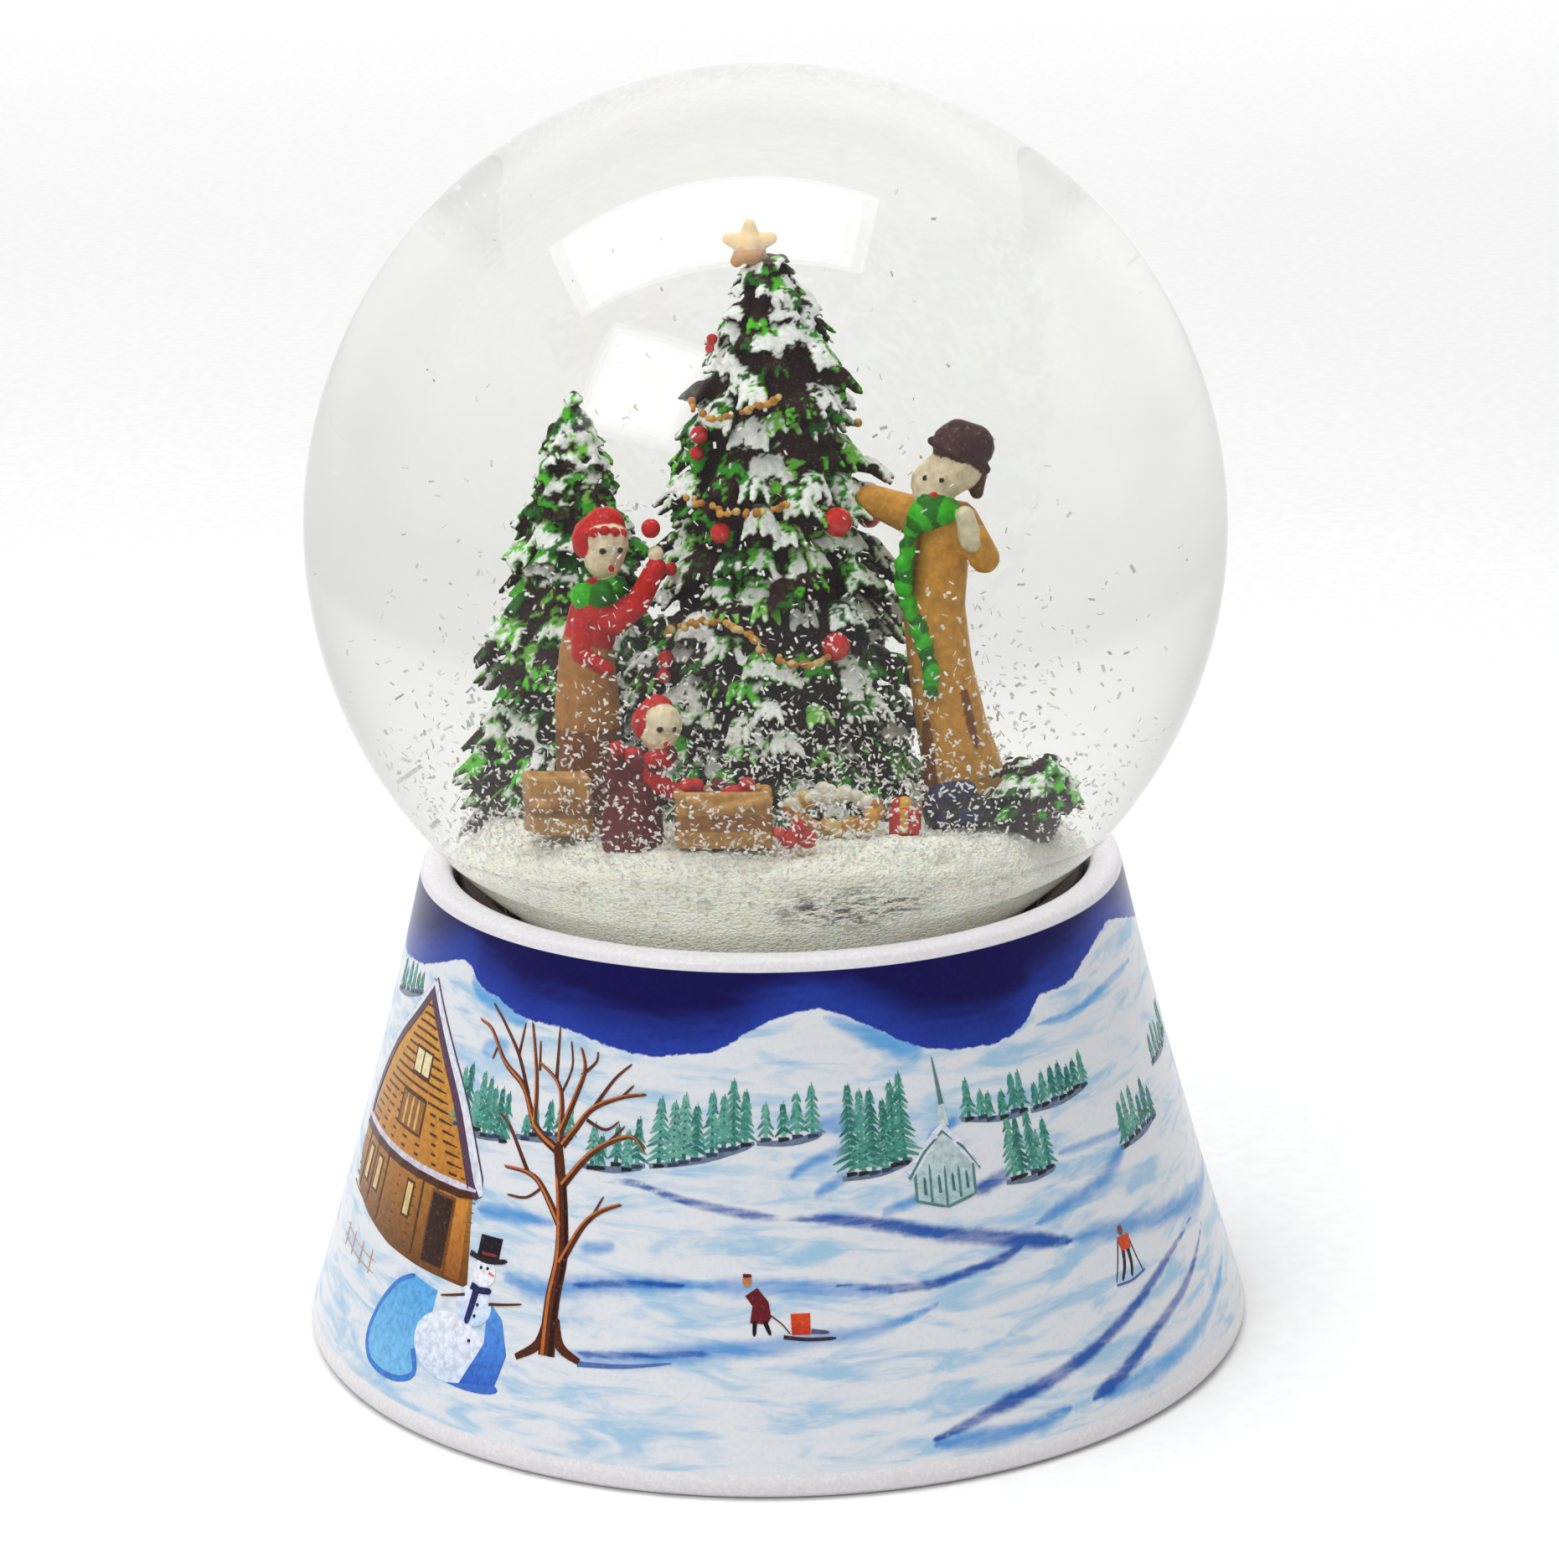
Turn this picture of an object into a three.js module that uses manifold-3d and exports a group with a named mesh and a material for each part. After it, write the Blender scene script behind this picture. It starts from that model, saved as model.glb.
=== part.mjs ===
// Musical snow globe: a liquid-filled glass globe on a flared porcelain base with a wind-up music movement.
// Millimetres, +Z up, -Y is the front. The origin is the centre of the foot, on the surface it stands on.
import * as THREE from "three";
import { mergeVertices } from "three/addons/utils/BufferGeometryUtils.js";
import Module from "manifold-3d";

const wasm = await Module();
wasm.setup();

// ---------- driving dimensions ----------
const GAP = 0.3; // clearance between neighbouring pieces
const TURN = Math.PI * 2;

const GLOBE = { radius: 50, wall: 2.5, height: 90.4, neckRadius: 29.5, neckBottom: 42 };
const BASE = { footRadius: 53.5, rimRadius: 38.5, height: 54, wall: 3.5, flare: 0.16 };
const SHOULDER = { bottom: 36, top: 38.5, radius: 31.5 }; // inner ledge that carries the globe holder
const PLATE = { bottom: 8.3, top: 10.5, radius: 47.2 }; // disc that closes the base from below
const STOPPER = { bottom: 39, flangeTop: 41.7, top: 49 };
const MOUND = { radius: 26, top: 65.5, edge: 61 };
const STAND = MOUND.top + GAP; // height at which the figures stand

// Music movement: the winding axis is the part's own Z axis, the drum lies along +X.
const BED = { bottom: 10.8, top: 12.3 };
const FACE = { teeth: 30, radius: 9, pitchHeight: 20.3 }; // crown teeth of the great wheel
const PINION = { teeth: 10, module: 0.6 };
const DRUM = { radius: 6, start: 12.6, length: 14, axis: FACE.pitchHeight + 3 };
const DRUM_GEAR = { teeth: 40, module: 0.4, x: 27.2, width: 1.2 };
const GOVERNOR = { pinionTeeth: 10, wheelTeeth: 24, module: 0.4, y: 10, wheelX: 29.4, width: 1.2 };
const WORM = { x: 30, y: GOVERNOR.y + 5.8, core: 0.6, crest: 1.25, bottom: 20.8, top: 25.8 };
const WORM_SHAFT = { bottom: 12.8, top: 32.8, radius: 0.5 };
const COMB = { teeth: 18, thickness: 0.8, tip: DRUM.radius + 0.5, root: 15, back: 20 };
const COMB_SCREWS = [[17, -17.6], [25, -17.6]];
const COVER = { minX: -13, maxX: 34.5, minY: -21.5, maxY: 22.5, corner: 5, wall: 1, top: 35 };
const SCREW_SPOTS = [[-9.5, -15], [30.2, -13.4], [21, 18.4]]; // screws that hold the movement to the plate

// Trees: axis, and the radius at each height with the drooping tiers as small steps outwards.
const TREE = {
  x: 0.5,
  y: 2,
  profile: [
    [12.4, 66], [12.6, 68], [11.4, 75], [11.8, 76], [9.8, 83], [10.4, 84], [8.4, 91], [9, 92],
    [7, 98.5], [7.6, 99.5], [4.2, 106], [4.8, 107], [1.6, 111],
  ],
};
const SMALL_TREE = {
  x: -15,
  y: 9,
  profile: [[8.6, 66], [8.8, 70], [6.8, 78], [7.4, 79], [5, 86], [5.4, 87], [3, 93], [3.4, 94], [0.8, 100]],
};

// Standing places of the figures.
const MAN = { x: 16.6, y: -1 };
const WOMAN = { x: -14.6, y: -4.4 };
const CHILD = { x: -11.9, y: -15.5 };

// ---------- helpers ----------
const group = new THREE.Group();

function solid(geometry) {
  const bare = geometry.index ? geometry.toNonIndexed() : geometry.clone();
  bare.deleteAttribute("normal");
  bare.deleteAttribute("uv");
  const merged = mergeVertices(bare, 1e-4);
  return new wasm.Manifold(
    new wasm.Mesh({
      numProp: 3,
      vertProperties: merged.attributes.position.array,
      triVerts: new Uint32Array(merged.index.array),
    }),
  );
}

function geometryOf(manifold) {
  const mesh = manifold.getMesh();
  const geometry = new THREE.BufferGeometry();
  geometry.setAttribute("position", new THREE.BufferAttribute(new Float32Array(mesh.vertProperties), 3));
  geometry.setIndex(new THREE.BufferAttribute(new Uint32Array(mesh.triVerts), 1));
  return geometry;
}

function join(...geometries) {
  return geometryOf(geometries.map(solid).reduce((whole, piece) => whole.add(piece)));
}

function cut(body, ...tools) {
  return geometryOf(tools.map(solid).reduce((left, tool) => left.subtract(tool), solid(body)));
}

// A solid of revolution about Z from [radius, height] pairs that run anticlockwise, radius to the right.
function lathe(profile, segments = 36) {
  const points = profile.map(([r, z]) => new THREE.Vector2(r, z));
  return new THREE.LatheGeometry(points, segments).rotateX(Math.PI / 2);
}

function ring(profile, segments) {
  return lathe([...profile, profile[0]], segments);
}

// The pairs of an arc in a profile: centre height, radius, and the polar angles of its ends in degrees.
function arc(centre, radius, from, to, steps) {
  return Array.from({ length: steps + 1 }, (_, i) => {
    const angle = THREE.MathUtils.degToRad(from + ((to - from) * i) / steps);
    return [Math.max(0, radius * Math.cos(angle)), centre + radius * Math.sin(angle)];
  });
}

function extrude(shape, depth, curveSegments = 6) {
  return new THREE.ExtrudeGeometry(shape, { depth, bevelEnabled: false, curveSegments });
}

function polygon(pairs) {
  return new THREE.Shape(pairs.map(([x, y]) => new THREE.Vector2(x, y)));
}

function roundedRectangle(minX, minY, maxX, maxY, r) {
  const shape = new THREE.Shape();
  shape.moveTo(minX + r, minY).lineTo(maxX - r, minY).absarc(maxX - r, minY + r, r, -TURN / 4, 0);
  shape.lineTo(maxX, maxY - r).absarc(maxX - r, maxY - r, r, 0, TURN / 4);
  shape.lineTo(minX + r, maxY).absarc(minX + r, maxY - r, r, TURN / 4, TURN / 2);
  shape.lineTo(minX, minY + r).absarc(minX + r, minY + r, r, TURN / 2, (3 * TURN) / 4);
  return shape;
}

function box(minX, minY, minZ, maxX, maxY, maxZ) {
  const geometry = new THREE.BoxGeometry(maxX - minX, maxY - minY, maxZ - minZ);
  return geometry.translate((minX + maxX) / 2, (minY + maxY) / 2, (minZ + maxZ) / 2);
}

// A cylinder or cone frustum standing on z = bottom at (x, y).
function post(x, y, bottom, top, radius, segments = 20, topRadius = radius) {
  const geometry = new THREE.CylinderGeometry(topRadius, radius, top - bottom, segments);
  return geometry.rotateX(Math.PI / 2).translate(x, y, (bottom + top) / 2);
}

// A cylinder lying along X on the axis (y, z).
function rod(fromX, toX, y, z, radius, segments = 16) {
  const geometry = new THREE.CylinderGeometry(radius, radius, toX - fromX, segments);
  return geometry.rotateZ(Math.PI / 2).translate((fromX + toX) / 2, y, z);
}

// A cylinder between two points.
function limb(from, to, radius, endRadius = radius, segments = 10) {
  const start = new THREE.Vector3(...from);
  const span = new THREE.Vector3(...to).sub(start);
  const geometry = new THREE.CylinderGeometry(endRadius, radius, span.length(), segments);
  const up = new THREE.Vector3(0, 1, 0);
  const turn = new THREE.Quaternion().setFromUnitVectors(up, span.clone().normalize());
  const middle = start.clone().addScaledVector(span, 0.5);
  return geometry.applyQuaternion(turn).translate(middle.x, middle.y, middle.z);
}

function ball(x, y, z, radius, segments = 12) {
  return new THREE.SphereGeometry(radius, segments, segments / 2).rotateX(Math.PI / 2).translate(x, y, z);
}

function material(color, roughness, metalness = 0, opacity = 1) {
  return new THREE.MeshStandardMaterial({ color, roughness, metalness, opacity, transparent: opacity < 1 });
}

function place(name, geometry, look) {
  const mesh = new THREE.Mesh(geometry, look);
  mesh.name = name;
  group.add(mesh);
  return mesh;
}

const LOOK = {
  porcelain: material(0xe9e9ee, 0.15),
  glass: material(0xffffff, 0.02, 0, 0.25),
  liquid: material(0xf4faf8, 0.02, 0, 0.15),
  rubber: material(0x1b1b1c, 0.8),
  sealant: material(0xe8e6dc, 0.5),
  blackPlastic: material(0x17130f, 0.5),
  snow: material(0xf0efe4, 0.8),
  flakes: material(0xf7f6ee, 0.6),
  fir: material(0x234b1d, 0.7),
  gilt: material(0xd9b672, 0.35, 0.4),
  coat: material(0xa5793b, 0.6),
  red: material(0xb2271c, 0.5),
  darkRed: material(0x7b2a2a, 0.6),
  card: material(0xb27a35, 0.7),
  darkCloth: material(0x2b2630, 0.6),
  steel: material(0xb9bcc0, 0.3, 0.9),
  springSteel: material(0x5b6470, 0.35, 0.9),
  brass: material(0xc9a24a, 0.3, 0.9),
  zinc: material(0xa8a9a6, 0.45, 0.8),
  whitePlastic: material(0xe9e7df, 0.4),
  clearPlastic: material(0xe8f0f2, 0.1, 0, 0.35),
};

// ---------- globe ----------
function shellAngle(radius, atRadius) {
  return -THREE.MathUtils.radToDeg(Math.acos(atRadius / radius));
}

function glassGlobe() {
  const inner = GLOBE.radius - GLOBE.wall;
  const neckInner = GLOBE.neckRadius - GLOBE.wall;
  return ring([
    [GLOBE.neckRadius, GLOBE.neckBottom],
    ...arc(GLOBE.height, GLOBE.radius, shellAngle(GLOBE.radius, GLOBE.neckRadius), 90, 12),
    ...arc(GLOBE.height, inner, 90, shellAngle(inner, neckInner), 10),
    [neckInner, GLOBE.neckBottom],
  ], 32);
}

function liquidFill() {
  const radius = GLOBE.radius - GLOBE.wall - 3 * GAP;
  const dome = arc(GLOBE.height, radius, -60, 90, 10);
  const whole = lathe([[0, dome[0][1]], ...dome], 24);
  const bedTop = MOUND.top + 0.8;
  const bed = lathe([[0, 38], [52, 38], [52, 60], [36, 60.4], [MOUND.radius, bedTop], [0, bedTop]], 20);
  return cut(
    whole,
    bed,
    post(TREE.x, TREE.y, 60, 119, 16.5, 16, 4.8), // round the large tree and its star
    post(SMALL_TREE.x, SMALL_TREE.y, 60, 104, 12.5, 14, 2.2), // round the small tree
    box(-22, -13.5, 60, -8.2, 1, 96), // round the woman and the left box
    box(-16.5, -22.5, 60, 3, -11, 82), // round the child and the ornament box
    box(8.5, -6.5, 60, 21.5, 4, 103), // round the man
    box(-1.5, -22.5, 60, 27, 5, 76), // round the wreath, parcel, sack and fir cuttings
  );
}

function rubberStopper() {
  const flange = GLOBE.neckRadius - 0.5;
  const plug = GLOBE.neckRadius - GLOBE.wall - GAP;
  return lathe([
    [0, STOPPER.bottom], [flange, STOPPER.bottom], [flange, STOPPER.flangeTop], [plug, STOPPER.flangeTop],
    [plug, STOPPER.top - 1], [plug - 1, STOPPER.top], [0, STOPPER.top],
  ], 24);
}

function globeHolder() {
  const bore = GLOBE.neckRadius + 0.4;
  const spigot = { radius: SHOULDER.radius - 0.5, bottom: SHOULDER.top - 2.2 };
  const flange = { radius: 37, bottom: SHOULDER.top + GAP, top: SHOULDER.top + 2.1 };
  const collar = { radius: bore + 1.6, top: 46 };
  return ring([
    [10, spigot.bottom], [spigot.radius, spigot.bottom], [spigot.radius, flange.bottom],
    [flange.radius, flange.bottom], [flange.radius, flange.top], [collar.radius, flange.top],
    [collar.radius, collar.top], [bore, collar.top],
    [bore, STOPPER.bottom - GAP], [10, STOPPER.bottom - GAP],
  ], 24);
}

function neckSealant() {
  return ring([[29.8, 46.3], [31.6, 46.3], [31, 47.6], [29.8, 48.3]], 24);
}

// ---------- scene inside the globe ----------
function snowMound() {
  return lathe([
    [0, STOPPER.top + GAP], [MOUND.radius, STOPPER.top + GAP], [MOUND.radius, MOUND.edge],
    [MOUND.radius - 0.8, MOUND.edge + 2.6], [MOUND.radius - 2.6, MOUND.top], [0, MOUND.top],
  ], 24);
}

function settledFlakes() {
  const glass = GLOBE.radius - GLOBE.wall - 0.6;
  const onGlass = (z) => [Math.sqrt(glass ** 2 - (GLOBE.height - z) ** 2), z];
  const inner = MOUND.radius + GAP;
  return ring([[inner, 52], onGlass(52.6), onGlass(55.5), onGlass(58.6), [31, 60.4], [inner, 61]], 24);
}

function tree({ x, y, profile }, spread, lift) {
  const outline = profile.map(([r, z]) => [r + spread, z + lift]);
  return lathe([[0, outline[0][1]], ...outline, [0, outline.at(-1)[1]]], 16).translate(x, y, 0);
}

function largeTree() {
  return tree(TREE, 0, 0);
}

function smallTree() {
  return cut(tree(SMALL_TREE, 0, 0), tree(TREE, 0.4, 0.4), tree(TREE, 0.4, -0.6));
}

function treeStar() {
  const points = Array.from({ length: 10 }, (_, i) => {
    const angle = (TURN * i) / 10 + TURN / 4;
    const r = i % 2 ? 1.35 : 2.5;
    return [r * Math.cos(angle), r * Math.sin(angle)];
  });
  return extrude(polygon(points), 1.6).rotateX(Math.PI / 2).translate(TREE.x - 1.4, TREE.y + 0.8, 114);
}

function manFigure() {
  const { x, y } = MAN;
  const coat = lathe([
    [0, STAND], [2.9, STAND], [3, 70], [2.7, 78], [2.9, 84], [3, 90], [1.6, 93], [0, 93],
  ], 12);
  const chest = [x - 3.1, y - 2, 91.6];
  const waist = [x - 4.2, y - 2.2, 86];
  return join(
    coat.translate(x, y, 0),
    ball(x - 1.4, y, 94.8, 2.7, 10), // head
    limb([x - 0.2, y, 96], [x + 1.2, y, 99.5], 2.6, 2), // hat
    post(x + 0.1, y, 96.6, 97.2, 3.1, 14), // hat brim
    limb([x - 1.5, y, 91], [x - 6, y + 1, 93], 1.5, 1.3), // arm that reaches into the tree
    limb([x + 1.5, y, 89.5], [x + 2.2, y - 0.6, 87], 1.6), // bent elbow
    limb([x - 0.5, y - 1.6, 92], chest, 1, 0.9), // scarf
    limb(chest, waist, 0.9, 0.8),
    limb(waist, [x - 3, y - 2.3, 77.5], 0.8, 0.7),
  );
}

function womanFigure() {
  const { x, y } = WOMAN;
  const dress = lathe([
    [0, STAND], [2.9, STAND], [2.9, 78], [2.2, 82.4], [2.5, 86], [1.2, 88], [0, 88],
  ], 14);
  return join(
    dress.translate(x, y, 0),
    ball(x + 0.9, y, 90.2, 2.5, 10),
    limb([x + 1.5, y - 0.6, 85.2], [x + 5.2, y - 2, 88.6], 1, 0.9),
  );
}

function childFigure() {
  const { x, y } = CHILD;
  const coat = lathe([[0, STAND], [3.2, STAND], [2.2, 73], [1, 75.8], [0, 75.8]], 14);
  return join(coat.translate(x, y, 0), ball(x + 2, y + 0.6, 77, 2.2));
}

function openBox(minX, minY, maxX, maxY, top, wall) {
  const outer = box(minX, minY, STAND, maxX, maxY, top);
  return cut(outer, box(minX + wall, minY + wall, STAND + 2.4, maxX - wall, maxY - wall, top + 1));
}

function beadWreath() {
  const torus = new THREE.TorusGeometry(3.4, 1.3, 8, 16);
  return torus.scale(1, 0.55, 1.2).translate(5.4, -14.9, STAND + 1.7);
}

function firCuttings() {
  const heap = lathe([[0, STAND], [3.6, STAND], [3.2, 69.4], [1.6, 72], [0, 72]], 12);
  return heap.scale(1, 1.1, 1).translate(22.4, -5.4, 0);
}

// A squat sack with a gathered neck.
function giftSack() {
  const sack = lathe([
    [0, STAND], [2, STAND], [2.6, STAND + 1.2], [2.4, STAND + 2.6], [1.1, STAND + 3.9], [1.5, STAND + 4.7],
    [0, STAND + 4.7],
  ], 14);
  return sack.translate(15.9, -8.6, 0);
}

// A small box tied with a crossed ribbon and a bow.
function toyParcel() {
  const x = 11.7;
  const y = -13.6;
  const lid = 68.5;
  return join(
    box(x - 1.2, y - 1.2, STAND, x + 1.2, y + 1.2, lid),
    box(x - 0.3, y - 1.3, STAND, x + 0.3, y + 1.3, lid + 0.1),
    box(x - 1.3, y - 0.3, STAND, x + 1.3, y + 0.3, lid + 0.1),
    ball(x - 0.55, y, lid + 0.35, 0.5, 8),
    ball(x + 0.55, y, lid + 0.35, 0.5, 8),
  );
}

function berrySprig() {
  const left = [1.7, -20.8, STAND + 1.1];
  const right = [3.4, -20.5, STAND + 1];
  return join(ball(...left, 1, 8), ball(...right, 0.95, 8), limb(left, right, 0.5, 0.5, 6));
}

// ---------- base ----------
function baseRadius(z) {
  const t = (BASE.height - z) / BASE.height;
  return BASE.rimRadius + (BASE.footRadius - BASE.rimRadius) * (t + BASE.flare * t * (t - 1));
}

function baseShell() {
  const inside = (z) => baseRadius(z) - BASE.wall;
  const outside = [1.4, 14, 27, 40, 52.8].map((z) => [baseRadius(z), z]);
  const seat = PLATE.top + GAP;
  return ring([
    [baseRadius(0) - 1.2, 0], ...outside, [BASE.rimRadius - 1, BASE.height],
    [BASE.rimRadius - 2.6, BASE.height], [inside(52.8), 53], [inside(SHOULDER.top), SHOULDER.top], [SHOULDER.radius, SHOULDER.top],
    [SHOULDER.radius, SHOULDER.bottom], [inside(SHOULDER.bottom), SHOULDER.bottom], [inside(24), 24],
    [inside(PLATE.top) - 1.6, seat], [PLATE.radius + 0.4, seat], [PLATE.radius + 0.8, 0],
  ], 36);
}

function basePlate() {
  const disc = post(0, 0, PLATE.bottom, PLATE.top, PLATE.radius, 36);
  const stemHole = post(0, 0, PLATE.bottom - 1, PLATE.top + 1, 2.4, 16);
  const screwHoles = SCREW_SPOTS.map(([x, y]) => post(x, y, PLATE.bottom - 1, PLATE.top + 1, 1.6, 12));
  const soundHoles = [150, 180, 210].map((degrees) => {
    const angle = THREE.MathUtils.degToRad(degrees);
    return post(28 * Math.cos(angle), 28 * Math.sin(angle), PLATE.bottom - 1, PLATE.top + 1, 3, 12);
  });
  return cut(disc, stemHole, ...screwHoles, ...soundHoles);
}

function plateScrew([x, y]) {
  const head = post(x, y, PLATE.bottom - 1.5, PLATE.bottom - GAP, 2.6, 14);
  const slot = box(x - 3, y - 0.35, PLATE.bottom - 2, x + 3, y + 0.35, PLATE.bottom - 1);
  return cut(join(head, post(x, y, PLATE.bottom - 1, BED.top + 1.2, 1.2, 12)), slot);
}

function windingKey() {
  const wings = roundedRectangle(-11, 2, 11, 7.6, 2.6);
  const plate = extrude(wings, 2.2, 3).rotateX(Math.PI / 2).translate(0, 1.1, 0);
  const finger = (x) => rodAlongY(x, 4.8, 1.5);
  const hub = post(0, 0, 2, 7.9, 3.2, 18);
  return cut(join(plate, hub), finger(-7.6), finger(7.6), post(0, 0, 4, 9, 1.9, 14));
}

function rodAlongY(x, z, radius) {
  return new THREE.CylinderGeometry(radius, radius, 8, 12).translate(x, 0, z);
}

// ---------- music movement ----------
// Outline of a spur gear with trapezoidal teeth, one tooth centred on the angle start.
function gearOutline(teeth, module, start) {
  const radius = (teeth * module) / 2;
  const tip = radius + 0.75 * module;
  const root = radius - 1.05 * module;
  const step = TURN / teeth;
  const corners = [[-0.25, root], [-0.1, tip], [0.1, tip], [0.25, root]];
  const pairs = [];
  for (let i = 0; i < teeth; i++) {
    for (const [share, r] of corners) {
      const angle = start + step * (i + share);
      pairs.push([r * Math.cos(angle), r * Math.sin(angle)]);
    }
  }
  return polygon(pairs);
}

// A gear whose axis lies along X at (y, z); the outline's plane is YZ and its angle 0 points along +Y.
function gearOnX({ teeth, module, x, width, y = 0, start = 0, bore = 1.1 }) {
  const [alongX, alongY, alongZ] = [[1, 0, 0], [0, 1, 0], [0, 0, 1]];
  const axes = [alongY, alongZ, alongX].map((axis) => new THREE.Vector3(...axis));
  const blank = extrude(gearOutline(teeth, module, start), width);
  blank.applyMatrix4(new THREE.Matrix4().makeBasis(...axes)).translate(x, y, DRUM.axis);
  return cut(blank, rod(x - 1, x + width + 1, y, DRUM.axis, bore, 14));
}

function greatWheel() {
  const pitch = (TURN * FACE.radius) / FACE.teeth;
  const faceTop = FACE.pitchHeight - 0.7;
  const disc = post(0, 0, 18.4, faceTop, 10, 30);
  const half = [0.25, 0.1].map((share) => share * pitch);
  const section = polygon([[-half[0], -0.3], [half[0], -0.3], [half[1], 1.1], [-half[1], 1.1]]);
  const ridges = Array.from({ length: FACE.teeth }, (_, i) => {
    const ridge = extrude(section, 1.2).rotateX(Math.PI / 2).rotateZ(TURN / 4);
    return ridge.translate(FACE.radius - 0.6, 0, faceTop).rotateZ((TURN * i) / FACE.teeth);
  });
  return cut(join(disc, ...ridges), post(0, 0, 17, 22, 1.8, 14));
}

function windingArbor() {
  return join(post(0, 0, 4.4, 22, 1.5, 14), post(0, 0, 16.4, 18.1, 1.9, 14));
}

function mainspring() {
  const turns = 4;
  const steps = 12;
  const side = (offset) => Array.from({ length: turns * steps + 1 }, (_, i) => {
    const r = 2.8 + (6.2 * i) / (turns * steps) + offset;
    const angle = (TURN * i) / steps;
    return [r * Math.cos(angle), r * Math.sin(angle)];
  });
  return extrude(polygon([...side(0.2), ...side(-0.2).reverse()]), 2.2).translate(0, 0, 14);
}

function springHousing() {
  return ring([[2, 12.6], [10.5, 12.6], [10.5, 18], [9.7, 18], [9.7, 13.5], [2, 13.5]], 30);
}

function bedplate() {
  const sheet = extrude(roundedRectangle(-12, -20.3, 33, 21.3, 5), BED.top - BED.bottom, 4);
  const plate = sheet.translate(0, 0, BED.bottom);
  const pedestal = box(14, COMB.root, BED.top - 0.5, 28, COMB.back, DRUM.axis - COMB.thickness / 2 - GAP);
  pedestal.translate(0, -COMB.root - COMB.back, 0);
  const lug = box(10.9, -2.6, BED.top - 0.5, 12.1, 2.6, DRUM.axis + 2.4);
  const screwHoles = SCREW_SPOTS.map(([x, y]) => post(x, y, BED.bottom - 1, BED.top + 1, 1.6, 12));
  return cut(
    join(plate, pedestal, lug),
    post(0, 0, BED.bottom - 1, BED.top + 1, 2, 14),
    rod(10, 13, 0, DRUM.axis, 1.1),
    ...screwHoles,
    ...COMB_SCREWS.map(([x, y]) => post(x, y, 18, 24, 1.1, 10)),
  );
}

function gearBracket() {
  const wall = box(31.4, -3, BED.top + GAP, 32.6, 12.6, DRUM.axis + 2.6);
  const foot = box(28.4, -3, BED.top + GAP, 32.6, 3, BED.top + 1.5);
  return cut(join(wall, foot), rod(31, 33, 0, DRUM.axis, 1.1), rod(31, 33, GOVERNOR.y, DRUM.axis, 0.9));
}

function governorFrame() {
  const upright = box(28.5, 19.4, BED.top + GAP, 31.5, 20.6, 33.2);
  const arm = box(28.5, 14.2, 32, 31.5, 20.6, 33.2);
  const foot = box(28.5, 14.2, BED.top + GAP, 31.5, 20.6, BED.top + 1.1);
  return cut(join(upright, arm, foot), post(WORM.x, WORM.y, 12, 34, 0.8, 10));
}

// The pinned drum on its arbor: a ring of pins for each comb tooth, at angles scattered by a fixed rule.
function musicDrum() {
  const start = DRUM.start;
  const barrel = rod(start, start + DRUM.length, 0, DRUM.axis, DRUM.radius, 30);
  const arbor = rod(8.2, 32.8, 0, DRUM.axis, 0.8, 12);
  const pins = [];
  for (let i = 0; i < COMB.teeth; i++) {
    for (const share of [0.13, 0.57]) {
      const angle = TURN * ((i * 0.618 + share) % 1);
      const pin = new THREE.ConeGeometry(0.22, 0.6, 4).translate(0, DRUM.radius, 0).rotateX(angle);
      pins.push(pin.translate(combToothX(i), 0, DRUM.axis));
    }
  }
  return join(barrel, arbor, ...pins);
}

const combPitch = (DRUM.length - 1.4) / COMB.teeth;

function combToothX(i) {
  return DRUM.start + 0.7 + combPitch * (i + 0.5);
}

// A steel comb: a back bar with one tapering tooth for each note.
function musicComb() {
  const first = combToothX(0) - combPitch / 2;
  const last = combToothX(COMB.teeth - 1) + combPitch / 2;
  const pairs = [[first, -COMB.back], [last, -COMB.back], [last, -COMB.root]];
  for (let i = COMB.teeth - 1; i >= 0; i--) {
    const x = combToothX(i);
    pairs.push([x + 0.28, -COMB.root], [x + 0.2, -COMB.tip], [x - 0.2, -COMB.tip], [x - 0.28, -COMB.root]);
  }
  pairs.push([first, -COMB.root]);
  const blank = extrude(polygon(pairs), COMB.thickness).translate(0, 0, DRUM.axis - COMB.thickness / 2);
  return cut(blank, ...COMB_SCREWS.map(([x, y]) => post(x, y, 20, 26, 1.1, 10)));
}

function combScrew([x, y]) {
  const top = DRUM.axis + COMB.thickness / 2 + GAP;
  const slot = box(x - 2.2, y - 0.25, top + 0.7, x + 2.2, y + 0.25, top + 2);
  return cut(join(post(x, y, top, top + 1.2, 1.9, 14), post(x, y, 19, top + 0.2, 0.8, 10)), slot);
}

function governorPinion() {
  const pinion = gearOnX({
    ...DRUM_GEAR,
    teeth: GOVERNOR.pinionTeeth,
    y: GOVERNOR.y,
    start: TURN / (2 * GOVERNOR.pinionTeeth), // half a tooth, so that it meshes with the drum gear
    bore: 0.4,
  });
  return join(pinion, rod(24.6, 32.5, GOVERNOR.y, DRUM.axis, 0.6, 10));
}

function wormWheel() {
  const { wheelTeeth, wheelX, module, width, y } = GOVERNOR;
  return gearOnX({ teeth: wheelTeeth, module, x: wheelX, width, y, bore: 0.9 });
}

function drumPinion() {
  const halfTooth = TURN / (2 * PINION.teeth);
  return gearOnX({ ...PINION, x: 7.7, width: 2.6, start: halfTooth - TURN / 4 });
}

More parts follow.
